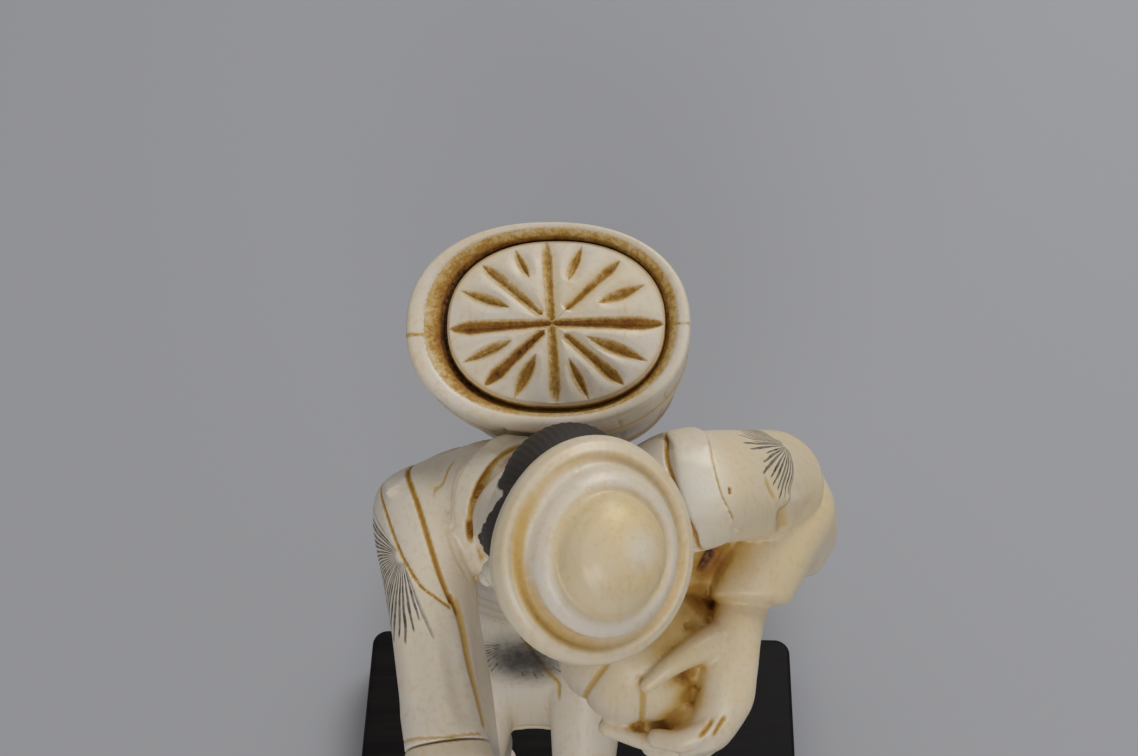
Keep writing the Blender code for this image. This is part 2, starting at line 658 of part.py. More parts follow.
BAND_CORE = (-3.5, 8, 96)
COLLAR = [(-5, 1, 76), (-9, 0, 88), (-13.6, -1.5, 99), (-15.9, 2.6, 110), (-14.6, 8.6, 115.5),
          (-10.5, 12.2, 118.0), (-4.8, 13.6, 118.6), (0.9, 12.2, 118.0), (5.0, 8.6, 115.5),
          (6.3, 2.6, 110), (4.0, -1.5, 99), (1, 0, 88), (-3, 1, 79)]
RIGHT_STRAP = [(-16, 22, 100), (-22.5, 17, 108.5), (-25.0, 11, 111), (-23.6, 5, 112),
               (-21.6, 0, 110.5), (-18.6, -5.2, 108), (-15.5, -4.0, 98), (-17.0, 5, 86)]
LEFT_STRAP = [(11, 24, 100), (13.6, 19.4, 108.6), (15.0, 14.6, 112.0), (15.8, 10.6, 112.3),
              (17.0, 7.1, 110.3), (18.6, 5.4, 106.3), (19.4, 5.2, 102.6)]
LEFT_CORD = [(18.0, 7, 103), (16.4, 4.5, 100), (14.0, 1.5, 95), (13, 6, 86)]


def bands(tree):
    """Collar and shoulder straps, draped over the trunk and sleeves."""
    return [band(tree, BAND_CORE, points, width, thick) for points, width, thick in
            ((COLLAR, 3.6, 1.9), (RIGHT_STRAP, 4.2, 1.1), (LEFT_STRAP, 5.4, 1.1),
             (LEFT_CORD, 3.4, 1.0))]


def make_figure(material, group, tools):
    cloth = [trunk(), skirt(), right_sleeve(), *left_sleeve()]
    tree = tree_of([cloth[0], right_sleeve(2), cloth[3]])
    forms = cloth + [sash()] + bands(tree) + head() + [hat(), melon()] + left_hand()
    forms.append(leg((-12, 22, 62), (-16.8, 3.5, 34), (-16, 9, 6)))
    forms.append(leg((2, 21, 62), (1.0, -6.0, 35), (3, -2, 6)))
    forms += foot((-16, 9), math.radians(-8))
    forms += foot((3, -2), math.radians(6))
    figure = solid("figure", joined(forms), material, group, FIGURE_VOXEL, FIGURE_TRIANGLES)
    cuff = bmesh.new()
    bmesh.ops.create_cube(cuff, size=1)
    bmesh.ops.transform(cuff, verts=cuff.verts, matrix=right_frame()
                        @ Matrix.Translation((0, 10 - GAP, -12)) @ Matrix.Diagonal((30, 20, 44, 1)))
    cut(figure, as_cutter("cuff_end", cuff, material, tools))
    seat = loft(tub_outside(GAP) + [oval(GAP, inset(TUB_HALF, 1.0))], 36, 1)
    bmesh.ops.transform(seat, matrix=tub_frame(), verts=seat.verts)
    cut(figure, as_cutter("tub_seat", seat, material, tools))
    return figure


# ---------------------------------------------------------------- right hand

def right_frame():
    """X to the arm's outer side, Y ahead along it from the cuff, Z up."""
    side = RIGHT_AHEAD.cross(Vector((0, 0, 1))).normalized()
    return frame_matrix(side, RIGHT_AHEAD, side.cross(RIGHT_AHEAD), Vector(RIGHT_CUFF))


def make_right_hand(material, group):
    """The open hand let into the right cuff, palm up, fingers a little curled."""
    rows = [[0, ahead, 0, wide, 0, 0, 0, 0, over, 0, 0, -under, 2.3]
            for ahead, wide, over, under in
            ((0, 5.7, 5.0, 5.6), (2.5, 5.9, 5.0, 5.8), (3.2, 4.3, 3.6, 4.0), (7.0, 3.9, 2.9, 3.4),
             (11, 4.7, 2.2, 3.0), (15, 4.9, 1.7, 2.6))]
    forms = [loft(rows, 16, 2, (0, 1.5))]
    for across, size, length in ((3.7, 1.15, 8.0), (1.25, 1.3, 10.4), (-1.2, 1.35, 11.0),
                                 (-3.6, 1.3, 10.2)):
        path = [(across, 13.5, -0.5), (across, 13.5 + length * 0.45, -1.4),
                (across, 13.5 + length * 0.85, -0.1), (across, 13.5 + length, 2.1)]
        forms.append(tube(path, [size * 1.15, size * 1.05, size, size * 0.8], 8, 2))
    thumb = [(-3.0, 6.0, 0), (-6.4, 10.0, 0.6), (-6.8, 14.5, 1.6)]
    forms.append(tube(thumb, [2.4, 1.9, 1.3], 8, 3))
    for form in forms:
        bmesh.ops.transform(form, matrix=right_frame(), verts=form.verts)
    return solid("right_hand", joined(forms), material, group, HAND_VOXEL, HAND_TRIANGLES)


def main():
    clear_scene()
    group = bpy.data.collections.new("okimono_pedlar")
    tools = bpy.data.collections.new("cutters")
    tools.hide_render = True
    for made in (group, tools):
        bpy.context.scene.collection.children.link(made)
    ivory = finish("ivory", (0.78, 0.70, 0.55), 0.35)
    wood = finish("dark_wood", (0.022, 0.015, 0.013), 0.4)
    make_plinth(wood, group)
    make_tub(ivory, group)
    make_lid(ivory, group, tools)
    make_figure(ivory, group, tools)
    make_right_hand(ivory, group)
    for obj in [*group.objects, *tools.objects]:
        obj.location.z = PLINTH_HEIGHT * MM


main()
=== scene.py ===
"""A carved ivory okimono, dressed: the stooping pedlar, the tub on the back with its lid, the
hand let into the right cuff and the dark wood plinth.

Forms are worked out in millimetres from the middle of the plinth's top: +X is the figure's
left, -Y its front, +Z up. finished() scales them to metres and sets them on the plinth.
"""
import math

import bmesh
import bpy
import numpy as np
from mathutils import Matrix, Vector
from mathutils.bvhtree import BVHTree


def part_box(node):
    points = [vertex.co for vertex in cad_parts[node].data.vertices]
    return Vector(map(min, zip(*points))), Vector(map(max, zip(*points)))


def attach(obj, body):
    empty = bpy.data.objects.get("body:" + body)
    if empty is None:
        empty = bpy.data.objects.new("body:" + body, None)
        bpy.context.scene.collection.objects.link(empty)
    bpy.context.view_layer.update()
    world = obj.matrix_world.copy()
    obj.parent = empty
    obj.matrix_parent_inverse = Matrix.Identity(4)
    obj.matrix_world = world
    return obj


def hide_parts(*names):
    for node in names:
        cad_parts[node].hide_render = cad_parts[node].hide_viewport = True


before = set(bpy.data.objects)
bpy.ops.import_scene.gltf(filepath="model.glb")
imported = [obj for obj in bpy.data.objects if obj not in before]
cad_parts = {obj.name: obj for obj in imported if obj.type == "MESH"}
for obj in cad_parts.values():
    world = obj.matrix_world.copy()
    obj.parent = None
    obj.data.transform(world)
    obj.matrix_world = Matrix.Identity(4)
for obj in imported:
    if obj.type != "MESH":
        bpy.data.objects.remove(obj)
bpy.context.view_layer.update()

MM = 0.001
GAP = 0.3
plinth_low, plinth_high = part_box("plinth")
STAND = Vector(((plinth_low.x + plinth_high.x) / 2, (plinth_low.y + plinth_high.y) / 2,
                plinth_high.z))

# Plinth
PLINTH_WIDTH = 84.0
PLINTH_DEPTH = 80.0
PLINTH_HEIGHT = (plinth_high.z - plinth_low.z) / MM
PLINTH_CORNER = 3.0
PLINTH_EDGE = 0.9
PLINTH_TURN = math.radians(-1.5)
COVE_LOW, COVE_HIGH, COVE_DEPTH = 5.0, 9.5, 1.3

# Tub on the back, with the middle of its rim's top for a place
TUB_RIM = Vector((-4.4, 24.8, 128.2))
TUB_UP = Vector((-0.075, -0.39, 0.92)).normalized()
TUB_TURN = math.radians(-1.0)
TUB_HALF = (19.2, 14.2)
TUB_OUTLINE = 2.25
TUB_LENGTH = 40.0
TUB_TAPER = 0.82
TUB_BELLY = 0.5
TUB_FLOOR = 3.0
HOOP = 0.35
HOOPS = ((0.12, 0.24), (0.66, 0.78))
MOUTH_HALF = (15.4, 12.2)
MOUTH_SHIFT = (0.9, 0.3)
BEVEL_HALF = (17.1, 13.0)
BEVEL_SHIFT = (0.4, 0.35)
RIM_ROUND = 1.2                # how far down the rim's rounding reaches
STAVES = 15
STAVE_LINE = 0.22              # half widths of the engraved lines
HOOP_LINE = 0.28
TUB_LINE_DEPTH = 0.22
RIM_LINE_AT = 2.1
STAIN_DEPTH = 2.2              # above this the whole mouth is stained, not only what faces in
LID_SEAT = 3.4
LEDGE = 1.7
LID_HALF = (14.8, 11.5)
LID_TURN = 4.0
CROSSING = (-0.36, -0.5)
LID_SHIFT = (1.1, 0.3)
LID_THICK = 2.2
LID_DOME = 1.5
LID_SIDES = 640
LID_RING = 0.655               # a fine ring round the lid's top, as a part of its radius

# Head and hat
HEAD = Vector((-2.4, -4.6, 121.2))
FACING = Vector((0.428, -0.598, -0.678)).normalized()
CROWN = Vector((0.446, -0.513, 0.733)).normalized()
HEAD_HALF = (9.4, 11.0, 12.6)
NAPE = 11.6                    # how far the skull goes back
BUN = ((-3.4, -7.0, 1.2), (8.2, 6.9, 5.4))
HAT_DENT = 0.09                # what the rim loses over the nape
HAT_DENT_AT = math.radians(-66)
HAT_LIFT = 7.0
HAT_WIDTH = 13.9 / 13.6        # against the profile in hat()
HAT_OVAL = 1.05

# Places that several parts share
RIGHT_CUFF = (-17.6, -22.6, 96.6)
RIGHT_AHEAD = Vector((1.2, -8.8, -1.6)).normalized()
LEFT_CUFF = (26.4, 8.6, 79.0)
MELON = (9.4, 5.2, 70.8)
MELON_RADIUS = 12.9
MELON_FLAT = 0.9
MELON_LEAN = math.radians(13)
RIBS = 8
RIB_TURN = math.radians(1.5)
# Hip, knee and ankle of each leg, and how far its foot turns
LEGS = (((-12, 22, 62), (-16.8, 3.5, 34), (-16, 9, 6), math.radians(-8)),
        ((2, 21, 62), (1.0, -6.0, 35), (3, -2, 6), math.radians(6)))
SHIN_TOP, SHIN_LENGTH, SHIN_WRAPS = 34, 28, 6

FIGURE_VOXEL = 0.32
FIGURE_TRIANGLES = 188_000
HAND_VOXEL = 0.16
HAND_TRIANGLES = 60_000
REACH = 4.0                    # lines are measured no further than this

# Inked fans of pine needles
NEEDLES = 58                   # strokes in a full turn
NEEDLE_WIDTH = 0.36
NEEDLE_CROWD = 0.36            # the most of its share of the turn that a stroke fills
NEEDLE_LENGTH = 7.2
NEEDLE_VARIES = 3.6            # what the longest ones have over that
FAN = 1.45                     # half of a fan's spread, in radians
FAN_RADIUS = 12.2
NO_FAN = (50.0, 0.0, 50.0)     # a place far from any fan

# Studio, in metres: the camera's place, tilt and lens, and place, size and watts of the lights
CAMERA = (-0.0014, -0.1071, 0.3246)
CAMERA_DOWN = math.radians(56)
CAMERA_LENS = 53.2
LIGHTS = {"top_light": ((0.36, 0.54, 0.80), 0.55, 3.9),
          "front_light": ((-0.05, -0.9, 0.55), 0.6, 3.4)}
FLOOR_GREY = (0.405, 0.41, 0.434, 1)
ROOM_WHITE = (1.0, 0.99, 0.985, 1)
ROOM_LIGHT = 0.30


# ---------------------------------------------------------------- forms

def smooth_rows(rows, steps):
    """Rows of numbers drawn through the given ones by a Catmull-Rom curve."""
    rows = np.array(rows, float)
    ends = np.vstack([2 * rows[0] - rows[1], rows, 2 * rows[-1] - rows[-2]])
    drawn = []
    for before, start, stop, after in zip(ends, ends[1:], ends[2:], ends[3:]):
        for step in range(steps):
            t = step / steps
            drawn.append(
                0.5 * (2 * start + (stop - before) * t
                       + (2 * before - 5 * start + 4 * stop - after) * t ** 2
                       + (3 * start - before - 3 * stop + after) * t ** 3)
            )
    drawn.append(rows[-1])
    return np.array(drawn)


def unit(vector):
    vector = np.array(vector, float)
    return vector / np.linalg.norm(vector)


def with_caps(rows, start, end, rings=5):
    """The rows with a rounded end of the given height before the first and after the last."""
    rows = list(rows)
    for height, near, far in ((start, 0, 1), (end, -1, -2)):
        if not height:
            continue
        out = unit(rows[near][:3] - rows[far][:3]) * height
        added = []
        for ring in range(1, rings + 1):
            turn = math.radians(87) * ring / rings
            row = rows[near].copy()
            row[:3] += out * math.sin(turn)
            row[3:12] *= math.cos(turn)
            added.append(row)
        rows = added[::-1] + rows if near == 0 else rows + added
    return rows


def loft(rows, sides=48, steps=6, caps=(0, 0), fold=None):
    """A closed form through oval rings. A row is the ring's middle, its half sizes as three
    vectors (side, front, back) and the power of its outline, 2 for an ellipse."""
    rows = smooth_rows(rows, steps)
    count = len(rows)
    around = np.arange(sides) / sides * math.tau
    scales = [fold(place, around) if fold else np.ones(sides) for place in np.linspace(0, 1, count)]
    rows = with_caps(rows, *caps)
    first = 5 if caps[0] else 0
    form = bmesh.new()
    bmesh.ops.create_circle(form, cap_ends=True, segments=sides, radius=1)
    form.faces.ensure_lookup_table()
    end = form.faces[0]
    first_ring = end.verts[:]
    for index, row in enumerate(rows):
        if index:
            end = bmesh.ops.extrude_discrete_faces(form, faces=[end])["faces"][0]
        scale = scales[min(max(index - first, 0), count - 1)]
        middle, side, front, back, power = row[:3], row[3:6], row[6:9], row[9:12], row[12]
        along = np.copysign(np.abs(np.cos(around)) ** (2 / power), np.cos(around))
        out = np.abs(np.sin(around)) ** (2 / power)
        depth = np.where((np.sin(around) >= 0)[:, None], front, back)
        spots = middle + scale[:, None] * (along[:, None] * side + out[:, None] * depth)
        for vert, spot in zip(end.verts, spots):
            vert.co = spot
    form.faces.new(first_ring)
    return outwards(form)


def outwards(form):
    """Turns the faces of a closed form out."""
    bmesh.ops.recalc_face_normals(form, faces=form.faces)
    if form.calc_volume(signed=True) < 0:
        bmesh.ops.reverse_faces(form, faces=form.faces)
    return form


def body_row(middle, wide, front, back, power=2.3):
    """A level ring for the trunk and skirt."""
    return [*middle, wide, 0, 0, 0, -front, 0, 0, back, 0, power]


def limb_rows(path, across, over, under, hangs=None, power=2.0, upright=(0, 0, 1)):
    """Rings along a path, their tops towards `upright`. What is under the path is square to
    it, or hangs in the directions given in `hangs`."""
    path = np.array(path, float)
    rows = []
    for index, point in enumerate(path):
        ahead = unit(path[min(index + 1, len(path) - 1)] - path[max(index - 1, 0)])
        side = unit(np.cross(ahead, upright))
        top = np.cross(side, ahead)
        down = unit(hangs[index]) if hangs else -top
        rows.append([*point, *(side * across[index]), *(top * over[index]),
                     *(down * under[index]), power])
    return rows


def tube(path, radii, sides=24, steps=6, upright=(0, 0, 1)):
    """A round limb or finger along a path."""
    rows = limb_rows(path, radii, radii, radii, upright=upright)
    return loft(rows, sides, steps, (radii[0], radii[-1]))


def ball(middle, half, columns=32, rows=20):
    form = bmesh.new()
    bmesh.ops.create_uvsphere(form, u_segments=columns, v_segments=rows, radius=1)
    bmesh.ops.scale(form, vec=half, verts=form.verts)
    bmesh.ops.translate(form, vec=middle, verts=form.verts)
    return form


def turned(profile, steps, oval=1.0):
    """A profile of (radius, height) points spun round Z, then squeezed along Y."""
    form = bmesh.new()
    verts = [form.verts.new((radius, 0, height)) for radius, height in profile]
    edges = [form.edges.new(pair) for pair in zip(verts, verts[1:])]
    bmesh.ops.spin(form, geom=verts + edges, cent=(0, 0, 0), axis=(0, 0, 1),
                   angle=math.tau, steps=steps, use_merge=True)
    bmesh.ops.remove_doubles(form, verts=form.verts, dist=0.001)
    bmesh.ops.scale(form, vec=(1, oval, 1), verts=form.verts)
    return outwards(form)


def frame_matrix(side, front, up, origin):
    """A matrix that takes X to side, Y to front, Z to up and the origin to its place."""
    matrix = Matrix((side, front, up)).transposed().to_4x4()
    matrix.translation = origin
    return matrix


def moved(forms, matrix):
    for form in forms:
        bmesh.ops.transform(form, matrix=matrix, verts=form.verts)
    return forms


def joined(forms):
    """Several forms in one bmesh. They're still separate shells."""
    whole = bmesh.new()
    for form in forms:
        mesh = bpy.data.meshes.new("form")
        form.to_mesh(mesh)
        whole.from_mesh(mesh)
        bpy.data.meshes.remove(mesh)
        form.free()
    return whole


def tree_of(forms):
    """A search tree of copies of the forms, for draping bands over them."""
    whole = joined([form.copy() for form in forms])
    tree = BVHTree.FromBMesh(whole)
    whole.free()
    return tree


def band(tree, core, points, width, thick, steps=10, sides=20, sink=0.6):
    """A flat strip that lies on the surface in `tree`. Each point is dropped on it along the
    line to the core, and the strip's underside sinks in."""
    core = Vector(core)
    spots = []
    for point in smooth_rows(points, steps):
        away = (Vector(point) - core).normalized()
        spot, normal, _, _ = tree.ray_cast(core + away * 90, -away)
        spots.append((np.array(spot or point), np.array(normal or away)))
    rows = []
    for index, (spot, normal) in enumerate(spots):
        ahead = spots[min(index + 1, len(spots) - 1)][0] - spots[max(index - 1, 0)][0]
        side = unit(np.cross(unit(ahead), normal))
        up = unit(np.cross(side, unit(ahead)))
        rows.append([*spot, *(side * width / 2), *(up * thick), *(-up * sink), 4.0])
    return loft(rows, sides, 1)


# ---------------------------------------------------------------- carving

def as_object(name, form):
    mesh = bpy.data.meshes.new(name)
    form.to_mesh(mesh)
    form.free()
    obj = bpy.data.objects.new(name, mesh)
    bpy.context.scene.collection.objects.link(obj)
    return obj


def apply_modifiers(obj):
    graph = bpy.context.evaluated_depsgraph_get()
    mesh = bpy.data.meshes.new_from_object(obj.evaluated_get(graph))
    old = obj.data
    obj.modifiers.clear()
    obj.data = mesh
    mesh.name = obj.name
    bpy.data.meshes.remove(old)


def fuse(obj, voxel, smoothing):
    """Makes one skin of overlapping shells, and rounds it a little."""
    remesh = obj.modifiers.new("fuse", "REMESH")
    remesh.mode = "VOXEL"
    remesh.voxel_size = voxel
    soften = obj.modifiers.new("soften", "SMOOTH")
    soften.factor = 0.5
    soften.iterations = smoothing
    apply_modifiers(obj)


def thin(obj, triangles, keep=None):
    """Leaves about so many triangles, more of them where `keep` is near 1."""
    before = sum(len(face.vertices) - 2 for face in obj.data.polygons)
    decimate = obj.modifiers.new("thin", "DECIMATE")
    decimate.ratio = min(1.0, triangles / before)
    decimate.use_collapse_triangulate = True
    if keep is not None:
        group = obj.vertex_groups.new(name="plain")
        for share in np.unique(np.round(keep, 1)):
            these = np.nonzero(np.round(keep, 1) == share)[0].tolist()
            group.add(these, float(max(1 - share, 0.02)), "REPLACE")
        decimate.vertex_group = group.name
        decimate.vertex_group_factor = 4.0
    apply_modifiers(obj)
    obj.vertex_groups.clear()


def cut_away(obj, form):
    """Takes a form away from an object."""
    cutter = as_object("cutter", form)
    boolean = obj.modifiers.new("cut", "BOOLEAN")
    boolean.operation = "DIFFERENCE"
    boolean.solver = "MANIFOLD"
    boolean.object = cutter
    apply_modifiers(obj)
    bpy.data.objects.remove(cutter, do_unlink=True)


def spots_of(obj):
    """The vertices' places and normals."""
    count = len(obj.data.vertices)
    spots = np.empty(count * 3, np.float32)
    normals = np.empty(count * 3, np.float32)
    obj.data.vertices.foreach_get("co", spots)
    obj.data.vertices.foreach_get("normal", normals)
    return spots.reshape(-1, 3).astype(float), normals.reshape(-1, 3).astype(float)


def put_spots(obj, spots):
    obj.data.vertices.foreach_set("co", spots.astype(np.float32).ravel())
    obj.data.update()


def surface_tree(obj):
    form = bmesh.new()
    form.from_mesh(obj.data)
    tree = BVHTree.FromBMesh(form)
    form.free()
    return tree


def dropped(tree, points, steps=8):
    """A smooth line through the points, each dropped on the nearest place of the surface, with
    the surface's normals there."""
    found = [tree.find_nearest(Vector(point)) for point in smooth_rows(points, steps)]
    return np.array([spot[0] for spot in found]), np.array([spot[1] for spot in found])


def runs(tree, points, within=1.0, steps=8):
    """The stretches of a line that lie on the surface, or close to it, each dropped on it."""
    spots = smooth_rows(points, steps)
    found = [tree.find_nearest(Vector(spot)) for spot in spots]
    lines = [[]]
    for (place, normal, _, gap) in found:
        if gap < within:
            lines[-1].append((place, normal))
        elif lines[-1]:
            lines.append([])
    return [(np.array([place for place, _ in line]), np.array([normal for _, normal in line]))
            for line in lines if len(line) > 3]


def distance_to(line, spots, reach=REACH):
    """How far the spots are from a line, measured across the surface and up to `reach`, and how
    far along it they lie, 0 to 1."""
    places, normals = line
    near = np.full(len(spots), reach)
    along = np.zeros(len(spots))
    low, high = places.min(0) - reach, places.max(0) + reach
    close = np.nonzero(np.all((spots > low) & (spots < high), axis=1))[0]
    nearby = spots[close]
    best, part = near[close], along[close]
    for index, (start, stop) in enumerate(zip(places, places[1:])):
        edge = stop - start
        low, high = np.minimum(start, stop) - reach, np.maximum(start, stop) + reach
        some = np.nonzero(np.all((nearby > low) & (nearby < high), axis=1))[0]
        offset = nearby[some] - start
        share = np.clip(offset @ edge / max(edge @ edge, 1e-9), 0, 1)
        offset -= share[:, None] * edge
        rise = offset @ normals[index]
        gap = np.linalg.norm(offset - rise[:, None] * normals[index], axis=1)
        gap += np.maximum(np.abs(rise) - 1.2, 0) * 2
        closer = gap < best[some]
        best[some[closer]] = gap[closer]
        part[some[closer]] = (index + share[closer]) / (len(places) - 1)
    near[close], along[close] = best, part
    return near, along


def beside(line, by):
    """A line's copy moved sideways over the surface."""
    places, normals = line
    ahead = np.gradient(places, axis=0)
    side = np.cross(ahead, normals)
    side /= np.linalg.norm(side, axis=1)[:, None]
    return places + side * by, normals


class Carving:
    """Engraved lines on a surface. Each has a half width, a depth (a ridge if negative) and a
    stain, and fades out over a part of its length at both ends."""

    def __init__(self):
        self.lines = []

    def add(self, line, width, depth, stain=0.0, fade=0.12):
        self.lines.append((line, width, depth, stain, fade))

    def sink(self, spots, normals):
        """The spots with every line cut into them."""
        cut = np.zeros(len(spots))
        for line, width, depth, _, fade in self.lines:
            near, along = distance_to(line, spots, width * 3)
            ends = step_up(np.minimum(along, 1 - along), -1e-6, max(fade, 1e-6))
            cut += depth * bell(near, width) * ends * (near < width * 3)
        return spots - normals * cut[:, None]

    def stain(self, spots):
        """The distance to the nearest stained line in half widths, and how stained each spot
        is."""
        nearest = np.full(len(spots), 6.0)
        tint = np.zeros(len(spots))
        for line, width, _, stain, fade in self.lines:
            if not stain:
                continue
            near, along = distance_to(line, spots, width * 6)
            ends = step_up(np.minimum(along, 1 - along), -1e-6, max(fade, 1e-6))
            nearest = np.minimum(nearest, near / width)
            tint = np.maximum(tint, stain * ends * (1 - step_up(near / width, 0.4, 1.9)))
        return nearest, tint


def attribute(obj, name, values):
    """Numbers or vectors on the vertices, for the materials to read."""
    values = np.asarray(values, np.float32)
    kind, field = ("FLOAT", "value") if values.ndim == 1 else ("FLOAT_VECTOR", "vector")
    layer = obj.data.attributes.new(name, kind, "POINT")
    layer.data.foreach_set(field, values.ravel())


def bell(distance, width):
    return np.exp(-(distance / width) ** 2)


def step_up(values, low, high):
    """0 below low, 1 above high and smooth between."""
    part = np.clip((values - low) / (high - low), 0, 1)
    return part * part * (3 - 2 * part)


def openness(obj, reach, rays=14):
    """How much of the room over each vertex is free within `reach`, 0 to 1."""
    spots, normals = spots_of(obj)
    tree = surface_tree(obj)
    turns = np.arange(rays) * math.pi * (3 - math.sqrt(5))
    heights = 1 - (np.arange(rays) + 0.5) / rays * 0.85
    widths = np.sqrt(1 - heights ** 2)
    around = np.stack([widths * np.cos(turns), widths * np.sin(turns), heights], axis=1)
    aside = np.cross(normals, np.where(np.abs(normals[:, :1]) > 0.8, (0, 1, 0), (1, 0, 0)))
    aside /= np.linalg.norm(aside, axis=1)[:, None]
    third = np.cross(normals, aside)
    free = np.zeros(len(spots))
    starts = spots + normals * 0.12
    for x, y, z in around:
        ways = x * aside + y * third + z * normals
        for index, (start, way) in enumerate(zip(starts, ways)):
            hit = tree.ray_cast(start, way, reach)
            free[index] += 1 if hit[0] is None else hit[3] / reach
    return free / rays


def finished(obj, material, slot, *nodes):
    """Sets a finished form on the plinth in metres, gives it its material, hangs it from the root
    and hides the parts it stands for.
    """
    spots, _ = spots_of(obj)
    put_spots(obj, spots * MM + np.array(STAND))
    obj.data.materials.clear()
    obj.data.materials.append(material)
    obj.data.shade_smooth()
    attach(obj, "root")
    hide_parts(*nodes)
    return obj


# ---------------------------------------------------------------- material nodes

class Value:
    """A socket in a material. An expression on it adds the Math nodes that work it out."""

    def __init__(self, finish, socket):
        self.finish = finish
        self.socket = socket

    def math(self, operation, first, second=None):
        inputs = {0: first} if second is None else {0: first, 1: second}
        return self.finish.add("Math", {"operation": operation}, inputs)

    def __add__(self, other):
        return self.math("ADD", self, other)

    def __radd__(self, other):
        return self.math("ADD", other, self)

    def __sub__(self, other):
        return self.math("SUBTRACT", self, other)

    def __rsub__(self, other):
        return self.math("SUBTRACT", other, self)

    def __mul__(self, other):
        return self.math("MULTIPLY", self, other)

    def __rmul__(self, other):
        return self.math("MULTIPLY", other, self)

    def __truediv__(self, other):
        return self.math("DIVIDE", self, other)

    def __rtruediv__(self, other):
        return self.math("DIVIDE", other, self)

    def __pow__(self, other):
        return self.math("POWER", self, other)

    def __abs__(self):
        return self.math("ABSOLUTE", self)

    def least(self, other):
        return self.math("MINIMUM", self, other)

    def most(self, other):
        return self.math("MAXIMUM", self, other)


class Finish:
    """A material under construction."""

    def __init__(self, name, roughness, **constants):
        self.material = bpy.data.materials.new(name)
        self.material.use_nodes = True
        self.tree = self.material.node_tree
        self.shader = self.tree.nodes["Principled BSDF"]
        self.shader.inputs["Roughness"].default_value = roughness
        for socket, value in constants.items():
            self.shader.inputs[socket.replace("_", " ")].default_value = value

    def add(self, kind, settings, inputs, output=0):
        """One node of a kind. Its settings go first, then the values or links of its sockets."""
        node = self.tree.nodes.new("ShaderNode" + kind)
        for name, value in settings.items():
            setattr(node, name, value)
        for name, value in inputs.items():
            if isinstance(value, Value):
                self.tree.links.new(value.socket, node.inputs[name])
            else:
                node.inputs[name].default_value = value
        return Value(self, node.outputs[output])

    def place(self):
        """Object coordinates, in metres."""
        return self.add("TexCoord", {}, {}, "Object")

    def stretched(self, scale):
        """Object coordinates drawn out, for a grain."""
        return self.add("Mapping", {}, {"Vector": self.place(), "Scale": scale})

    def attribute(self, name):
        return self.add("Attribute", {"attribute_name": name}, {}, "Fac")

    def vector_attribute(self, name):
        """An attribute's three numbers."""
        vector = self.add("Attribute", {"attribute_name": name}, {}, "Vector")
        return [self.add("SeparateXYZ", {}, {0: vector}, axis) for axis in "XYZ"]

    def noise(self, vector, scale, detail=3.0, roughness=0.55, distortion=0.0):
        return self.add("TexNoise", {},
                        {"Vector": vector, "Scale": scale, "Detail": detail,
                         "Roughness": roughness, "Distortion": distortion})

    def between(self, value, low, high):
        """0 at low, 1 at high and smooth between, whichever way round they are."""
        return self.add("MapRange", {"interpolation_type": "SMOOTHSTEP"},
                        {"Value": value, "From Min": low, "From Max": high})

    def mix(self, share, first, second):
        """A colour between two others."""
        first, second = [colour if isinstance(colour, Value) else (*colour, 1)
                         for colour in (first, second)]
        return self.add("Mix", {"data_type": "RGBA"}, {0: share, 6: first, 7: second}, 2)

    def bump(self, height, strength, distance, under=None):
        inputs = {"Height": height, "Strength": strength, "Distance": distance}
        if under:
            inputs["Normal"] = under
        return self.add("Bump", {}, inputs)

    def give(self, **sockets):
        """Feeds the shader's sockets and returns the material."""
        for name, value in sockets.items():
            self.tree.links.new(value.socket, self.shader.inputs[name.replace("_", " ")])
        return self.material


CREAM = (0.740, 0.655, 0.525)
PALE = (0.735, 0.670, 0.585)
WARM = (0.735, 0.575, 0.305)
# Pale cream of the painted highlight on the left strap.
HIGHLIGHT_PALE = (0.880, 0.840, 0.740)
TAN = (0.600, 0.400, 0.135)
OCHRE = (0.430, 0.225, 0.030)
RUST = (0.300, 0.112, 0.010)
UMBER = (0.060, 0.026, 0.009)
SOOT = (0.034, 0.026, 0.019)
WOOD = (0.0040, 0.0032, 0.0033)
WOOD_VEIN = (0.0100, 0.0072, 0.0068)
WOOD_PORE = (0.004, 0.003, 0.003)


def ivory_base(finish, warmth):
    """Ivory's own colour: pale clouds in cream, yellower where it is `warmth`, and faint growth
    lines along the tusk."""
    clouds = finish.noise(finish.place(), 70.0, 3.0)
    body = finish.mix(finish.between(clouds, 0.38, 0.66), CREAM, PALE)
    body = finish.mix(warmth * (0.55 + 0.45 * finish.between(clouds, 0.7, 0.35)), body, WARM)
    grain = finish.noise(finish.stretched((1100.0, 1100.0, 24.0)), 1.0, 2.0, 0.6)
    return finish.mix(0.22 * finish.between(grain, 0.48, 0.7), body, TAN), grain


def brown_ramp(finish, colour, amount):
    """Brown stain, and painted shade in the figure's hollows and some creases, from tan through
    ochre and rust to umber as the amount goes from 0 to 1.
    """
    colour = finish.mix(finish.between(amount, 0.0, 0.34), colour, TAN)
    colour = finish.mix(finish.between(amount, 0.30, 0.52), colour, OCHRE)
    colour = finish.mix(finish.between(amount, 0.50, 0.78), colour, RUST)
    return finish.mix(finish.between(amount, 0.78, 1.0), colour, UMBER)


def ivory_polish(finish, grain, stain):
    """Roughness and surface of polished ivory, duller where it is stained."""
    place = finish.place()
    fine = finish.noise(place, 2600.0, 2.0)
    waves = finish.noise(place, 210.0, 2.0)
    rough = 0.33 + 0.10 * fine + 0.42 * finish.between(stain, 0.1, 0.8)
    normal = finish.bump(waves, 0.12, 0.0005)
    return rough, finish.bump(grain * 0.5 + fine * 0.5, 0.07, 0.0002, normal)


def ivory_finish(name):
    return Finish(name, 0.35, Subsurface_Weight=0.2, Subsurface_Scale=0.0012,
                  Subsurface_Radius=(1.0, 0.6, 0.3), IOR=1.5)


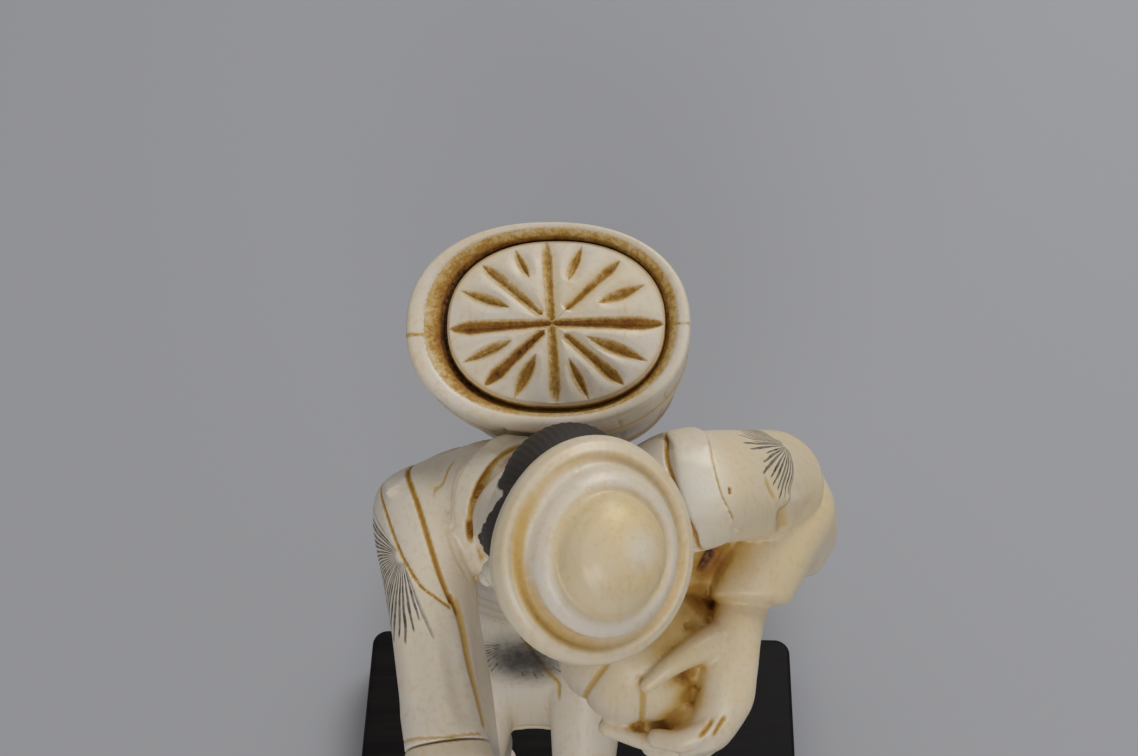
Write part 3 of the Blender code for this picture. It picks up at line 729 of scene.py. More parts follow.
def pine_needles(finish):
    """Fans of tapering ink strokes. The attribute holds a place in its fan, in millimetres."""
    x, y, far = finish.vector_attribute("needles")
    out = (x * x + y * y) ** 0.5
    turn = finish.add("Math", {"operation": "ARCTAN2"}, {0: y, 1: x})
    stroke = turn * (NEEDLES / math.tau) + 0.5
    index = finish.add("Math", {"operation": "FLOOR"}, {0: stroke})
    chance = finish.add("TexWhiteNoise", {"noise_dimensions": "1D"}, {"W": index})
    bend = finish.noise(finish.place(), 300.0, 1.0)
    offset = abs(stroke - index - 0.5 + 0.35 * (chance - 0.5) + 0.5 * (bend - 0.5))
    reach = NEEDLE_LENGTH + NEEDLE_VARIES * chance
    wide = NEEDLE_WIDTH * (0.65 + 0.55 * chance) * ((1.15 - out / reach).most(0.0)) ** 0.5
    wide = wide.least(out * (NEEDLE_CROWD * math.tau / NEEDLES))
    drawn = finish.between(offset * out * (math.tau / NEEDLES) / wide, 1.0, 0.55)
    drawn = drawn * finish.between(out, 0.5, 1.1) * finish.between(out, reach, reach - 0.6)
    drawn = drawn * finish.between(far, FAN_RADIUS, FAN_RADIUS - 0.6)
    return drawn * finish.between(abs(turn), FAN, FAN - 0.1)


def ivory_figure():
    """Ivory with stain and painted shade in the hollows, stain in the engraved lines, India ink and
    a painted highlight.
    """
    finish = ivory_finish("ivory")
    colour, grain = ivory_base(finish, finish.attribute("warm"))
    # A painted highlight on the left strap.
    colour = finish.mix(finish.attribute("strap_highlight"), colour, HIGHLIGHT_PALE)
    mottle = finish.noise(finish.place(), 900.0, 3.0, 0.6)
    hollow_stain_and_shade = finish.attribute("hollow_stain_and_shade")
    line = finish.attribute("line")
    speckle = finish.between(mottle, 0.35, 0.7)
    # The hollows bring stain and painted shade together; the engraved lines bring stain, and
    # painted shade in some creases.
    stain = hollow_stain_and_shade.most(line * (0.92 + 0.16 * speckle)) + 0.16 * (speckle - 0.5) * hollow_stain_and_shade
    colour = brown_ramp(finish, colour, stain)
    ink = finish.between(finish.attribute("ink") + 0.25 * (mottle - 0.5), 0.12, 0.95)
    ink = ink.most(pine_needles(finish) * (0.66 + 0.3 * speckle))
    colour = finish.mix(ink, colour, SOOT)
    rough, normal = ivory_polish(finish, grain, stain)
    return finish.give(Base_Color=colour, Roughness=rough + 0.3 * ink, Normal=normal)


def ivory_vessel(name, warmth):
    """The tub's ivory, with speckled stain in its cuts and round its mouth."""
    finish = ivory_finish(name)
    place = finish.place()
    clouds = finish.between(finish.noise(place, 45.0, 2.0), 0.35, 0.65)
    colour, grain = ivory_base(finish, warmth * clouds)
    mottle = finish.noise(place, 1500.0, 4.0, 0.7)
    patches = finish.noise(place, 260.0, 2.0)
    line = finish.attribute("line")
    rough_cut = finish.between(line, 0.08, 0.35)
    specks = finish.between(mottle, 0.40, 0.62)
    stain = line + (0.22 * (specks - 0.5) + 0.6 * (patches - 0.5)) * rough_cut
    colour = brown_ramp(finish, colour, stain)
    rough, normal = ivory_polish(finish, grain, stain)
    normal = finish.bump(mottle * rough_cut, 0.6, 0.0004, normal)
    return finish.give(Base_Color=colour, Roughness=rough, Normal=normal)


def dark_wood():
    """Near-black waxed hardwood with open grain along X."""
    finish = Finish("dark_wood", 0.5, IOR=1.2)
    veins = finish.noise(finish.stretched((22.0, 300.0, 300.0)), 1.0, 5.0, 0.6, 1.2)
    pores = finish.noise(finish.stretched((160.0, 2600.0, 2600.0)), 1.0, 2.0, 0.5)
    colour = finish.mix(finish.between(veins, 0.35, 0.7), WOOD, WOOD_VEIN)
    colour = finish.mix(finish.between(pores, 0.62, 0.75), colour, WOOD_PORE)
    return finish.give(Base_Color=colour, Roughness=0.42 + 0.2 * veins,
                       Normal=finish.bump(pores, 0.15, 0.0002))


# ---------------------------------------------------------------- plinth

def plinth():
    form = bmesh.new()
    bmesh.ops.create_cube(form, size=1)
    bmesh.ops.scale(form, vec=(PLINTH_WIDTH, PLINTH_DEPTH, PLINTH_HEIGHT), verts=form.verts)
    upright = [edge for edge in form.edges
               if abs(edge.verts[0].co.z - edge.verts[1].co.z) > 1]
    bmesh.ops.bevel(form, geom=upright, offset=PLINTH_CORNER, segments=10, profile=0.5,
                    affect="EDGES", material=-1)
    rims = [edge for edge in form.edges
            if abs(edge.verts[0].co.z - edge.verts[1].co.z) < 0.01]
    bmesh.ops.bevel(form, geom=rims, offset=PLINTH_EDGE, segments=5, profile=0.5,
                    affect="EDGES", material=-1)
    low = -PLINTH_HEIGHT / 2
    for height in np.linspace(COVE_LOW, COVE_HIGH, 17):
        bmesh.ops.bisect_plane(form, geom=form.verts[:] + form.edges[:] + form.faces[:],
                               plane_co=(0, 0, low + height), plane_no=(0, 0, 1))
    for vert in form.verts:
        rise = (vert.co.z - low - COVE_LOW) / (COVE_HIGH - COVE_LOW)
        if 0.001 < rise < 0.999:
            inward = COVE_DEPTH * math.sin(math.pi * rise)
            vert.co.x -= math.copysign(inward, vert.co.x)
            vert.co.y -= math.copysign(inward, vert.co.y)
    bmesh.ops.rotate(form, cent=(0, 0, 0), matrix=Matrix.Rotation(PLINTH_TURN, 3, "Z"),
                     verts=form.verts)
    bmesh.ops.translate(form, vec=(0, 0, low), verts=form.verts)
    block = finished(as_object("plinth_block", form), dark_wood(), "dark_wood", "plinth")
    block.data.set_sharp_from_angle(angle=math.radians(35))


# ---------------------------------------------------------------- tub and lid

def tub_frame():
    """X across the tub, Y to its back, Z along it with 0 at the rim's top."""
    side = Matrix.Rotation(TUB_TURN, 3, TUB_UP) @ Vector((1, 0, 0))
    side = (side - TUB_UP * side.dot(TUB_UP)).normalized()
    return frame_matrix(side, TUB_UP.cross(side), TUB_UP, TUB_RIM)


def oval(height, half, shift=(0, 0)):
    """A level ring of the tub or its lid."""
    return [*shift, height, half[0], 0, 0, 0, half[1], 0, 0, -half[1], 0, TUB_OUTLINE]


def tub_outside(grow=0.0):
    """Rings from the tub's foot up to the rim. The seat in the figure's back is a grown copy."""
    rows = [oval(-TUB_LENGTH - grow, [half * TUB_TAPER - 1 for half in TUB_HALF])]
    rises = sorted([0.03, 0.4, 0.55, 0.9, *(edge + step for hoop in HOOPS
                                            for edge, step in zip(hoop, (-0.02, 0.02))),
                    *(edge for hoop in HOOPS for edge in hoop)])
    for rise in rises:
        on_hoop = grow or any(low <= rise <= high for low, high in HOOPS)
        swell = TUB_BELLY * math.sin(math.pi * rise) + grow + (HOOP if on_hoop else 0)
        taper = TUB_TAPER + (1 - TUB_TAPER) * rise
        rows.append(oval(-TUB_LENGTH * (1 - rise), [half * taper + swell for half in TUB_HALF]))
    rows.append(oval(-RIM_ROUND, [half + grow for half in TUB_HALF]))
    return rows


def inset(half, by):
    return [size - by for size in half]


def filled(rows, spacing):
    """Rings no further apart than `spacing`, straight between the given ones."""
    rows = np.array(rows, float)
    full = [rows[0]]
    for start, stop in zip(rows, rows[1:]):
        length = max(np.linalg.norm(stop[:3] - start[:3]), np.abs(stop[3:12] - start[3:12]).max())
        steps = max(1, math.ceil(length / spacing))
        full += [start + (stop - start) * step / steps for step in range(1, steps + 1)]
    return full


def rim_rings():
    """Rings over the rounded lip and down the bevel to the mouth, as the share of the way in and
    the height."""
    wall, lip, mouth = (TUB_HALF, (0, 0)), (BEVEL_HALF, BEVEL_SHIFT), (MOUTH_HALF, MOUTH_SHIFT)
    over_lip = ((0.0, -RIM_ROUND), (0.05, -0.62), (0.13, -0.28), (0.28, -0.06), (0.48, 0.0),
                (0.7, -0.05), (0.88, -0.18), (1.0, -0.42))
    down_bevel = ((0.3, -0.72), (0.65, -1.05), (0.9, -1.45), (1.0, -1.9))
    rings = []
    for start, stop, steps in ((wall, lip, over_lip), (lip, mouth, down_bevel)):
        for share, height in steps:
            half, shift = [[(1 - share) * here + share * there for here, there in zip(*pair)]
                           for pair in zip(start, stop)]
            rings.append(oval(height, half, shift))
    return rings


def round_the_mouth(spots, half, shift):
    """How far out spots lie from a level oval's middle, 1 on its line."""
    out = np.abs((spots[:, :2] - shift) / half) ** TUB_OUTLINE
    return out.sum(1) ** (1 / TUB_OUTLINE)


def tub():
    bore = inset(MOUTH_HALF, LEDGE)
    deep = [size * TUB_TAPER for size in bore]
    inner = [
        oval(-2.0, MOUTH_HALF, MOUTH_SHIFT), oval(-2.15, inset(MOUTH_HALF, 0.28), MOUTH_SHIFT),
        oval(-LID_SEAT, inset(MOUTH_HALF, 0.28), MOUTH_SHIFT), oval(-LID_SEAT, bore, MOUTH_SHIFT),
        oval(-LID_SEAT - 1.5, inset(bore, 0.3), MOUTH_SHIFT),
        oval(-TUB_LENGTH + TUB_FLOOR + 1.5, deep), oval(-TUB_LENGTH + TUB_FLOOR, inset(deep, 1.5)),
    ]
    rim = filled(rim_rings(), 0.13)
    rows = filled(tub_outside()[:-1] + rim[:1], 0.55)[:-1] + rim + filled(rim[-1:] + inner, 0.7)[1:]
    obj = as_object("tub_body", loft(rows, 420, 1))
    spots, normals = spots_of(obj)
    around = np.arctan2(spots[:, 1] / TUB_HALF[1], spots[:, 0] / TUB_HALF[0])
    sunk = -spots[:, 2]
    in_mouth = round_the_mouth(spots, BEVEL_HALF, BEVEL_SHIFT)
    to_gap = 1 - (in_mouth - 0.9) / 0.1
    faces_in = ((normals[:, :2] * spots[:, :2]).sum(1) < 0) | (normals[:, 2] > 0.5)
    inside = (in_mouth < 1.0) & (faces_in | (sunk < STAIN_DEPTH))
    outside = (normals[:, 2] < 0.75) & ~inside

    # staves between the hoops, and an engraved line along each edge of a hoop
    staves = np.abs((around / math.tau * STAVES) % 1 - 0.5) * math.tau / STAVES * TUB_HALF[1]
    on_wall = outside & (sunk > 2.6) & (sunk < TUB_LENGTH - 1)
    bare = np.ones(len(spots))
    edges = np.zeros(len(spots))
    for low, high in HOOPS:
        bare *= 1 - bell(sunk / TUB_LENGTH - 1 + (low + high) / 2, (high - low) * 0.55)
        for edge in (low, (low + high) / 2, high):
            edges = np.maximum(edges, bell(sunk - TUB_LENGTH * (1 - edge), HOOP_LINE))
    step = bell(sunk - RIM_LINE_AT, STAVE_LINE) * outside
    lines = np.where(on_wall, np.maximum(bell(staves, STAVE_LINE) * bare, edges), 0)
    spots -= normals * (TUB_LINE_DEPTH * lines + 0.25 * step)[:, None]

    # stain from the rim's bevel down into the gap, darkest on the figure's right, a tick across
    # the rim at both ends, and a tan foot
    darker = step_up(0.5 - 0.5 * np.cos(around), 0.4, 1.0)
    tint = step_up(to_gap, -0.6, 0.35) * (0.34 + 0.26 * step_up(to_gap, 0.2, 1.1))
    tint += (0.08 + 0.26 * darker) * step_up(sunk, 1.0, 2.4)
    tint = np.where(inside, np.minimum(tint, 0.97), 0)
    for side, width in ((0.0, 0.35), (math.pi + 0.12, 0.5)):
        tick = bell(np.sin(around - side) * TUB_HALF[1], width * 0.5) * (np.cos(around - side) > 0)
        tint = np.maximum(tint, 0.42 * tick * (normals[:, 2] > 0.2) * (sunk < 1.0))
    below = np.where(outside, 0.16 * step_up(sunk, 14, TUB_LENGTH), 0)
    attribute(obj, "line", np.maximum(tint, np.maximum(0.26 * np.maximum(lines, step), below)))
    put_spots(obj, spots)
    obj.data.transform(tub_frame())
    finished(obj, ivory_vessel("tub_ivory", 0.45), "tub_ivory", "tub")


# The lid's cuts: angle, inner and outer end as parts of the radius, half width at both, depth,
# stain and whether it is leaf-shaped
LID_CUTS = (
    (-3, -0.02, 0.985, 0.50, 1.50, 1.25, 0.76, False),
    (26, 0.46, 0.93, 0.95, 0.95, 0.8, 0.52, True),
    (48, 0.18, 0.94, 0.30, 0.80, 1.0, 0.52, False),
    (71, 0.50, 0.96, 0.55, 0.55, 0.8, 0.50, True),
    (90, 0.0, 0.985, 0.36, 0.62, 0.8, 0.44, False),
    (107.5, 0.57, 0.96, 0.42, 0.42, 0.7, 0.52, True),
    (128, 0.12, 0.97, 0.36, 0.95, 1.0, 0.47, False),
    (150, 0.43, 0.96, 0.80, 0.80, 0.8, 0.50, True),
    (179, -0.02, 0.97, 0.50, 1.60, 1.25, 0.76, False),
    (205, 0.42, 0.98, 0.85, 0.85, 0.8, 0.53, True),
    (226, 0.10, 0.985, 0.45, 1.15, 1.1, 0.78, False),
    (245, 0.40, 0.985, 0.85, 0.85, 0.9, 0.58, True),
    (269, 0.0, 0.985, 0.36, 0.72, 0.8, 0.43, False),
    (287, 0.45, 0.985, 0.55, 0.55, 0.9, 0.58, True),
    (308.5, 0.16, 0.97, 0.40, 1.05, 1.1, 0.56, False),
    (329.5, 0.34, 0.97, 1.05, 1.05, 0.9, 0.58, True),
)


def lid_top(part):
    """The lid's height at a part of its radius, from the tub's rim."""
    return -LID_SEAT + GAP + LID_THICK + LID_DOME * (1 - part ** 2.4)


def lid():
    floor = -LID_SEAT + GAP
    base = [oval(floor, [0.2, 0.2]), oval(floor, inset(LID_HALF, 0.4)),
            oval(floor + 0.4, LID_HALF)]
    shoulder = [oval(lid_top(1) - 0.9, LID_HALF), oval(lid_top(1) - 0.4, inset(LID_HALF, 0.12)),
                oval(lid_top(0.965), inset(LID_HALF, 0.5))]
    top = [oval(lid_top(part), [size * part for size in LID_HALF])
           for part in np.linspace(0.955, 0.01, 24)]
    rows = filled(base + shoulder[:1], 0.5)[:-1] + filled(shoulder + top, 0.156)
    obj = as_object("tub_lid_top", loft(rows, LID_SIDES, 1))
    spots, normals = spots_of(obj)
    radius, squeeze = LID_HALF[0], LID_HALF[1] / LID_HALF[0]
    flat = np.stack([spots[:, 0], spots[:, 1] / squeeze], axis=1)
    out = np.hypot(flat[:, 0], flat[:, 1]) / radius
    on_top = step_up(normals[:, 2], 0.2, 0.6)
    depth = np.zeros(len(spots))
    stain = np.zeros(len(spots))
    for angle, inner, outer, narrow, broad, deep, tint, leaf in LID_CUTS:
        turn = math.radians(angle + LID_TURN)
        reach = 1 - np.array(CROSSING) @ (math.cos(turn), math.sin(turn)) / radius
        away = flat - CROSSING
        along = away @ (math.cos(turn), math.sin(turn)) / radius / reach
        aside = np.abs(away @ (-math.sin(turn), math.cos(turn)))
        share = np.clip((along - inner) / (outer - inner), 0, 1)
        if leaf:
            part = np.sin(math.pi * share ** 0.9) ** 0.9
        else:
            part = step_up(share, -0.01, 0.06) * np.clip((1 - share) / 0.2, 0, 1) ** 0.6
        wide = (narrow + (broad - narrow) * share) * part + 0.01
        cut = (1 - aside / wide) * (part > 0)
        slope = bell(np.maximum(aside - wide * 0.5, 0), 1.05) * part
        sunk = deep * np.clip(cut, 0, 1) * wide / max(narrow, broad) + 0.48 * slope
        depth = np.maximum(depth, sunk)
        stain = np.maximum(stain, tint * step_up(cut, -0.08, 0.5) * part ** 0.4)
        # Tan beside each cut: stain bled out of it, and painted shade where the wedge slopes down
        # into it.
        bleed_and_shade = bell(np.maximum(aside - wide * 0.7, 0), 0.45) * part
        stain = np.maximum(stain, np.maximum(0.15 * slope, 0.36 * bleed_and_shade))
    spots[:, 2] -= depth * on_top
    put_spots(obj, spots)
    fine_ring = 0.13 * bell((out - LID_RING) * radius, 0.10)
    edge = 0.14 * step_up(out, 0.93, 1.0)
    stain = np.maximum.reduce([stain, fine_ring, edge])
    attribute(obj, "line", np.maximum(stain * on_top, 0.62 * (1 - on_top)))
    obj.data.transform(tub_frame() @ Matrix.Translation((*LID_SHIFT, 0)))
    finished(obj, ivory_vessel("lid_ivory", 0.35), "tub_ivory", "tub_lid")


# ---------------------------------------------------------------- figure

def trunk():
    def fold(place, around):
        depth = 0.035 * np.clip(1.4 - 2.2 * abs(place - 0.5), 0, 1)
        return 1 + depth * np.cos(5 * around + 5 * place)
    rows = [
        body_row((-5, 20.0, 60), 15.5, 11, 11.5),
        body_row((-5, 20.5, 70), 15.0, 10.5, 11),
        body_row((-5, 18.5, 78), 14.0, 10, 10.5),
        body_row((-4.6, 16.0, 88), 15.8, 10.5, 11),
        body_row((-4.2, 13.0, 97), 18.5, 11, 11),
        body_row((-4.4, 10.8, 105), 19.5, 10.5, 10),
        body_row((-4.6, 10.2, 110), 17.0, 8.5, 8),
        body_row((-4.8, 10.2, 114.5), 11.5, 6, 5),
        body_row((-4.8, 10.4, 117), 7.0, 3.5, 3),
    ]
    return loft(rows, 96, 8, fold=fold)


def skirt():
    def fold(place, around):
        depth = 0.075 * place ** 1.2
        return 1 + depth * np.cos(9 * around + 1.1 * np.sin(2 * around) + 1.5 * place)
    rows = [
        body_row((-5, 19.5, 74), 14.5, 10.5, 11),
        body_row((-5, 19.0, 66), 16.5, 12, 12),
        body_row((-6, 18.0, 56), 18.0, 12.5, 13.5),
        body_row((-6.5, 17.5, 46), 19.5, 13.5, 15),
        body_row((-7, 17.5, 37), 20.5, 14.0, 16.5),
    ]
    return loft(rows, 144, 8, fold=fold)


def leg(hip, knee, ankle):
    hip, knee, ankle = (np.array(point, float) for point in (hip, knee, ankle))
    calf = knee + (ankle - knee) * 0.35 + np.array((0, 1.8, 0))
    thigh = hip + (knee - hip) * 0.55 + np.array((0, -1.0, 1.5))
    path = [hip, thigh, knee, calf, knee + (ankle - knee) * 0.75, ankle]
    return tube(path, [8.5, 6.2, 4.9, 5.0, 3.8, 3.5], 32, 6, upright=(0, -1, 0))


def foot(ankle, turn):
    """A bare foot on a straw sandal, heel behind the ankle, toes to the front."""
    rows = [[0, -along, 1.4, wide, 0, 0, 0, 0, high - 1.2, 0, 0, -0.6, 2.2]
            for along, wide, high in ((-4.5, 2.9, 3.4), (-2.0, 3.3, 5.6), (1.5, 3.4, 6.6),
                                      (5.0, 3.9, 4.9), (9.0, 4.4, 3.2), (12.5, 4.1, 2.3))]
    forms = [loft(rows, 32, 5, (1.2, 1.4))]
    for toe in range(5):
        reach = 14.6 - 0.55 * toe - (0.0 if toe else -0.4)
        across = -3.2 + 1.6 * toe
        size = 1.25 if toe == 0 else 0.95
        forms.append(tube([(-across, -11.5, 2.3), (-across * 1.04, -13.4, 2.5),
                           (-across * 1.04, -reach, 2.0)], [size, size, size * 0.9], 14, 3))
    sole = [[0, -along, 1.0, wide, 0, 0, 0, 0, 0.9, 0, 0, -0.9, 3.0]
            for along, wide in ((-6.6, 2.6), (-5, 3.8), (0, 4.4), (6, 4.9), (12, 5.1), (15.4, 3.4))]
    forms.append(loft(sole, 32, 5, (0.8, 1.0)))
    for size, cord in (
            (0.8, [(-4.4, -4.0, 1.4), (-3.2, -3.0, 5.8), (0, -2.4, 7.6), (3.2, -3.0, 5.8),
                   (4.4, -4.0, 1.4)]),
            (0.75, [(-4.2, -5.0, 1.4), (-2.2, -8.5, 4.7), (0.6, -12.2, 3.0)]),
            (0.75, [(4.2, -5.0, 1.4), (2.8, -8.5, 4.7), (0.6, -12.2, 3.0)])):
        forms.append(tube(cord, [size] * len(cord), 12, 5))
    place = Matrix.Translation((ankle[0], ankle[1], GAP))
    return moved(forms, place @ Matrix.Rotation(turn, 4, "Z"))


def right_sleeve(rings=5):
    """The sleeve with the bag that hangs from the arm, or only its first rings."""
    past_cuff = Vector(RIGHT_CUFF) + RIGHT_AHEAD * 2
    path = [(-14, 11, 104), (-21.2, 8.0, 104.6), (-20.6, -3.0, 102.6), (-19.4, -13.0, 99.8),
            past_cuff]
    hang = (0.22, 0.10, -1)
    rows = limb_rows(path, [8, 7.9, 5.9, 5.5, 5.6], [8, 7.9, 6.4, 5.6, 5.2],
                     [8, 8.5, 13.0, 19.0, 21.0], [hang] * 5, 2.2)[:rings]

    def fold(place, around):
        low = np.clip(-np.sin(around), 0, 1)
        return 1 + 0.10 * low * place * np.cos(11 * place + 3 * around)
    return loft(rows, 72, 12, (3, 0), fold)


def left_sleeve():
    """The upper arm, the bent forearm with the bag that hangs from it, and the robe's fold
    between the bag and the trunk."""
    path = [(9, 11, 104), (15.8, 12.8, 104.8), (23.5, 18.0, 97.5), (30.0, 24.0, 88.0)]
    upper = loft(limb_rows(path, [8, 8.2, 8.0, 8.2], [8, 7.9, 7.8, 7.6], [8, 8.5, 9.0, 9.0]),
                 64, 10, (3, 5))
    path = [(31.6, 29.0, 82.5), (31.8, 22.5, 82.8), (28.4, 14.5, 81.2), LEFT_CUFF]
    hangs = [(0.20, 0.0, -1), (0.22, 0.10, -1), (0.15, 0.30, -1), (0.05, 0.35, -0.9)]
    rows = limb_rows(path, [6.2, 8.2, 7.4, 6.2], [5, 7.2, 6.4, 5.2], [18, 25.0, 16.0, 7.0],
                     hangs, 2.3)
    for row, side in zip(rows[2:], ((-7.2, 1.4, 0), (-6.2, 0.4, 0))):
        row[3:6] = side

    def fold(place, around):
        low = np.clip(-np.sin(around), 0, 1)
        return 1 + 0.09 * low * np.cos(12 * place + 3 * around)
    between = limb_rows([(4, 14.5, 96), (12, 15.0, 94), (19, 16.5, 91), (26, 19.5, 87)], [3] * 4,
                        [2.5] * 4, [22, 25, 27, 24], [(0.05, -0.3, -1)] * 4)
    return [upper, loft(rows, 72, 12, (5, 1.2), fold), loft(between, 40, 8, (2, 2))]


def head_matrix(lift=0.0):
    """The head's own axes: X to its right, Y to its front, Z up."""
    return frame_matrix(FACING.cross(CROWN), FACING, CROWN, HEAD + CROWN * lift)


def in_head(spots, lift=0.0):
    """Spots as x, y and z in the head's own axes."""
    back = np.array(head_matrix(lift).inverted())
    return (spots @ back[:3, :3].T + back[:3, 3]).T


def head():
    """Skull, face and neck."""
    wide, deep, high = HEAD_HALF
    form = bmesh.new()
    bmesh.ops.create_uvsphere(form, u_segments=64, v_segments=44, radius=1)
    for vert in form.verts:
        x, y, z = vert.co
        jaw = max(0.0, -z)
        width = 1 - 0.28 * jaw ** 1.5
        front = 1 - 0.10 * jaw if y > 0 else 1 - 0.22 * jaw
        vert.co = (wide * x * width, (deep if y > 0 else NAPE) * y * front, high * z)
    # the nose's bridge and tip, upper and lower lip, chin and brow, then on each side the ear,
    # its lobe, a nostril, an eyelid and a cheek
    features = [
        ((0, 10.4, -0.6), (1.25, 2.3, 3.4)),
        ((0, 11.2, -3.3), (1.9, 1.9, 1.35)),
        ((0, 9.9, -6.3), (2.9, 1.5, 0.75)),
        ((0, 9.7, -7.5), (2.3, 1.5, 0.8)),
        ((0, 7.9, -10.4), (3.4, 2.5, 2.2)),
        ((0, 9.2, 3.0), (6.2, 1.7, 1.2)),
    ]
    for side in (-1, 1):
        features += [((side * 9.2, -0.4, -1.8), (1.2, 2.1, 3.2)),
                     ((side * 9.6, 0.1, -4.6), (0.9, 1.2, 1.3)),
                     ((side * 1.35, 10.5, -3.5), (1.0, 1.4, 0.95)),
                     ((side * 3.7, 8.9, 0.1), (2.2, 1.7, 1.35)),
                     ((side * 5.2, 7.0, -3.4), (2.8, 2.0, 2.3))]
    forms = [form, ball(*BUN)] + [ball(middle, half) for middle, half in features]
    moved(forms, head_matrix())
    neck = loft([
        body_row((-4.2, 6.5, 103), 10.0, 8.5, 8, 2),
        body_row((-4.4, 4.5, 111), 10.0, 8.5, 8, 2),
        body_row((-4.2, 0.5, 118), 9.6, 8, 9.5, 2),
        body_row((-3.4, -3.0, 123), 8.5, 7, 9.5, 2),
    ], 48, 8)
    return forms + [neck]


def hat():
    profile = [(0, -1.5), (9.5, -1.6), (12.2, -1.2), (13.3, 0.2), (13.6, 1.8), (13.1, 3.3),
               (12.0, 4.3), (11.1, 4.4), (10.5, 3.9), (10.1, 4.5), (9.6, 5.6), (8.6, 6.5),
               (7.6, 6.7), (7.1, 6.9), (6.6, 8.0), (5.4, 9.4), (3.6, 10.5), (1.6, 11.1),
               (0, 11.3)]
    form = turned([(radius * HAT_WIDTH, height) for radius, height in profile], 120, HAT_OVAL)
    for vert in form.verts:
        away = math.remainder(math.atan2(vert.co.y, vert.co.x) - HAT_DENT_AT, math.tau)
        share = HAT_DENT * math.exp(-(away / 0.75) ** 2) * min(1, vert.co.xy.length / 9)
        vert.co.xy *= 1 - share
    return moved([form], head_matrix(HAT_LIFT))[0]


def melon_matrix():
    return Matrix.Translation(MELON) @ Matrix.Rotation(MELON_LEAN, 4, "X")


def melon():
    """A round ribbed fruit, its stalk end up."""
    form = bmesh.new()
    bmesh.ops.create_uvsphere(form, u_segments=108, v_segments=54, radius=1)
    for vert in form.verts:
        x, y, z = vert.co
        around = math.atan2(y, x)
        flank = math.hypot(x, y)
        rib = 1 - 0.05 * flank * abs(math.cos(RIBS / 2 * (around - RIB_TURN))) ** 6
        dip = 0.12 * math.exp(-(flank / 0.3) ** 2)
        vert.co = MELON_RADIUS * Vector((x * rib, y * rib, MELON_FLAT * z * (1 - dip)))
    return moved([form], melon_matrix())[0]


def left_hand():
    """The bare wrist, the palm against the melon's flank, thumb over it, fingers round it."""
    path = [(26.0, 11, 77.2), (24.0, 4.5, 76.6), (22.6, -1.0, 75.0), (21.9, -5.2, 72.4),
            (19.4, -8.8, 69.6), (15.6, -10.2, 68.0)]
    palm = limb_rows(path, [4.1, 4.1, 4.6, 4.4, 3.4, 2.4], [3.8, 3.7, 3.7, 3.6, 3.0, 2.4],
                     [4.2, 4.4, 5.6, 7.2, 7.4, 6.6])
    thumb = [(23.0, 3.6, 75.4), (18.4, 0.6, 78.6), (14.0, -2.6, 79.6), (10.2, -5.2, 78.0)]
    forms = [loft(palm, 40, 8, (1, 1.5)), tube(thumb, [3.4, 2.5, 1.7, 1.2], 24, 8)]
    forms += [ball((17.0, -5.6, 66.0), (4.4, 5.0, 5.4)), ball((12.6, -5.4, 66.0), (3.2, 2.6, 2.4))]
    fingers = (
        (1.9, [(22.6, -4.4, 73.8), (20.4, -8.8, 72.0), (15.8, -10.8, 70.2), (11.9, -9.8, 68.6)]),
        (1.9, [(22.6, -4.4, 70.7), (20.0, -8.6, 68.2), (12.4, -8.8, 65.0), (4.6, -6.2, 64.3)]),
        (1.8, [(22.6, -4.4, 67.6), (20.2, -8.8, 65.4), (15.2, -10.2, 63.8), (11.2, -9.0, 63.0)]),
        (1.6, [(22.6, -4.4, 64.5), (20.2, -8.4, 62.6), (15.8, -9.6, 61.0), (12.6, -8.6, 60.4)]),
    )
    for size, path in fingers:
        forms.append(tube(path, [size * 1.1, size, size * 0.92, size * 0.8], 24, 8))
    return forms


def sash():
    rows = [
        body_row((-5, 19.6, 70.5), 16.2, 11.8, 12.2),
        body_row((-5, 19.4, 72), 16.6, 12.2, 12.4),
        body_row((-5, 19.0, 77), 15.6, 11.6, 12.0),
        body_row((-5, 18.6, 79), 15.2, 11.0, 11.6),
    ]
    return loft(rows, 96, 6)


BAND_CORE = (-3.5, 8, 96)
COLLAR = [(-5, 1, 76), (-9, 0, 88), (-13.6, -1.5, 99), (-15.9, 2.6, 110), (-14.6, 8.6, 115.5),
          (-10.5, 12.2, 118.0), (-4.8, 13.6, 118.6), (0.9, 12.2, 118.0), (5.0, 8.6, 115.5),
          (6.3, 2.6, 110), (4.0, -1.5, 99), (1, 0, 88), (-3, 1, 79)]
RIGHT_STRAP = [(-16, 22, 100), (-22.5, 17, 108.5), (-25.0, 11, 111), (-23.6, 5, 112),
               (-21.6, 0, 110.5), (-18.6, -5.2, 108), (-15.5, -4.0, 98), (-17.0, 5, 86)]
LEFT_STRAP = [(11, 24, 100), (13.6, 19.4, 108.6), (15.0, 14.6, 112.0), (15.8, 10.6, 112.3),
              (17.0, 7.1, 110.3), (18.6, 5.4, 106.3), (19.4, 5.2, 102.6)]
LEFT_CORD = [(18.0, 7, 103), (16.4, 4.5, 100), (14.0, 1.5, 95), (13, 6, 86)]
LEFT_STRAP_EDGES = (
    [(16.8, 19.0, 110.0), (17.8, 14.8, 112.1), (18.4, 10.9, 111.9), (19.5, 7.5, 109.5),
     (21.0, 6.7, 106.2)],
    [(12.8, 18.2, 110.1), (12.1, 13.9, 112.1), (12.8, 10.2, 112.2), (14.2, 6.9, 110.6),
     (15.5, 5.0, 107.9), (16.6, 4.6, 104.8), (17.2, 4.7, 102.4), (19.5, 5.0, 101.6)])
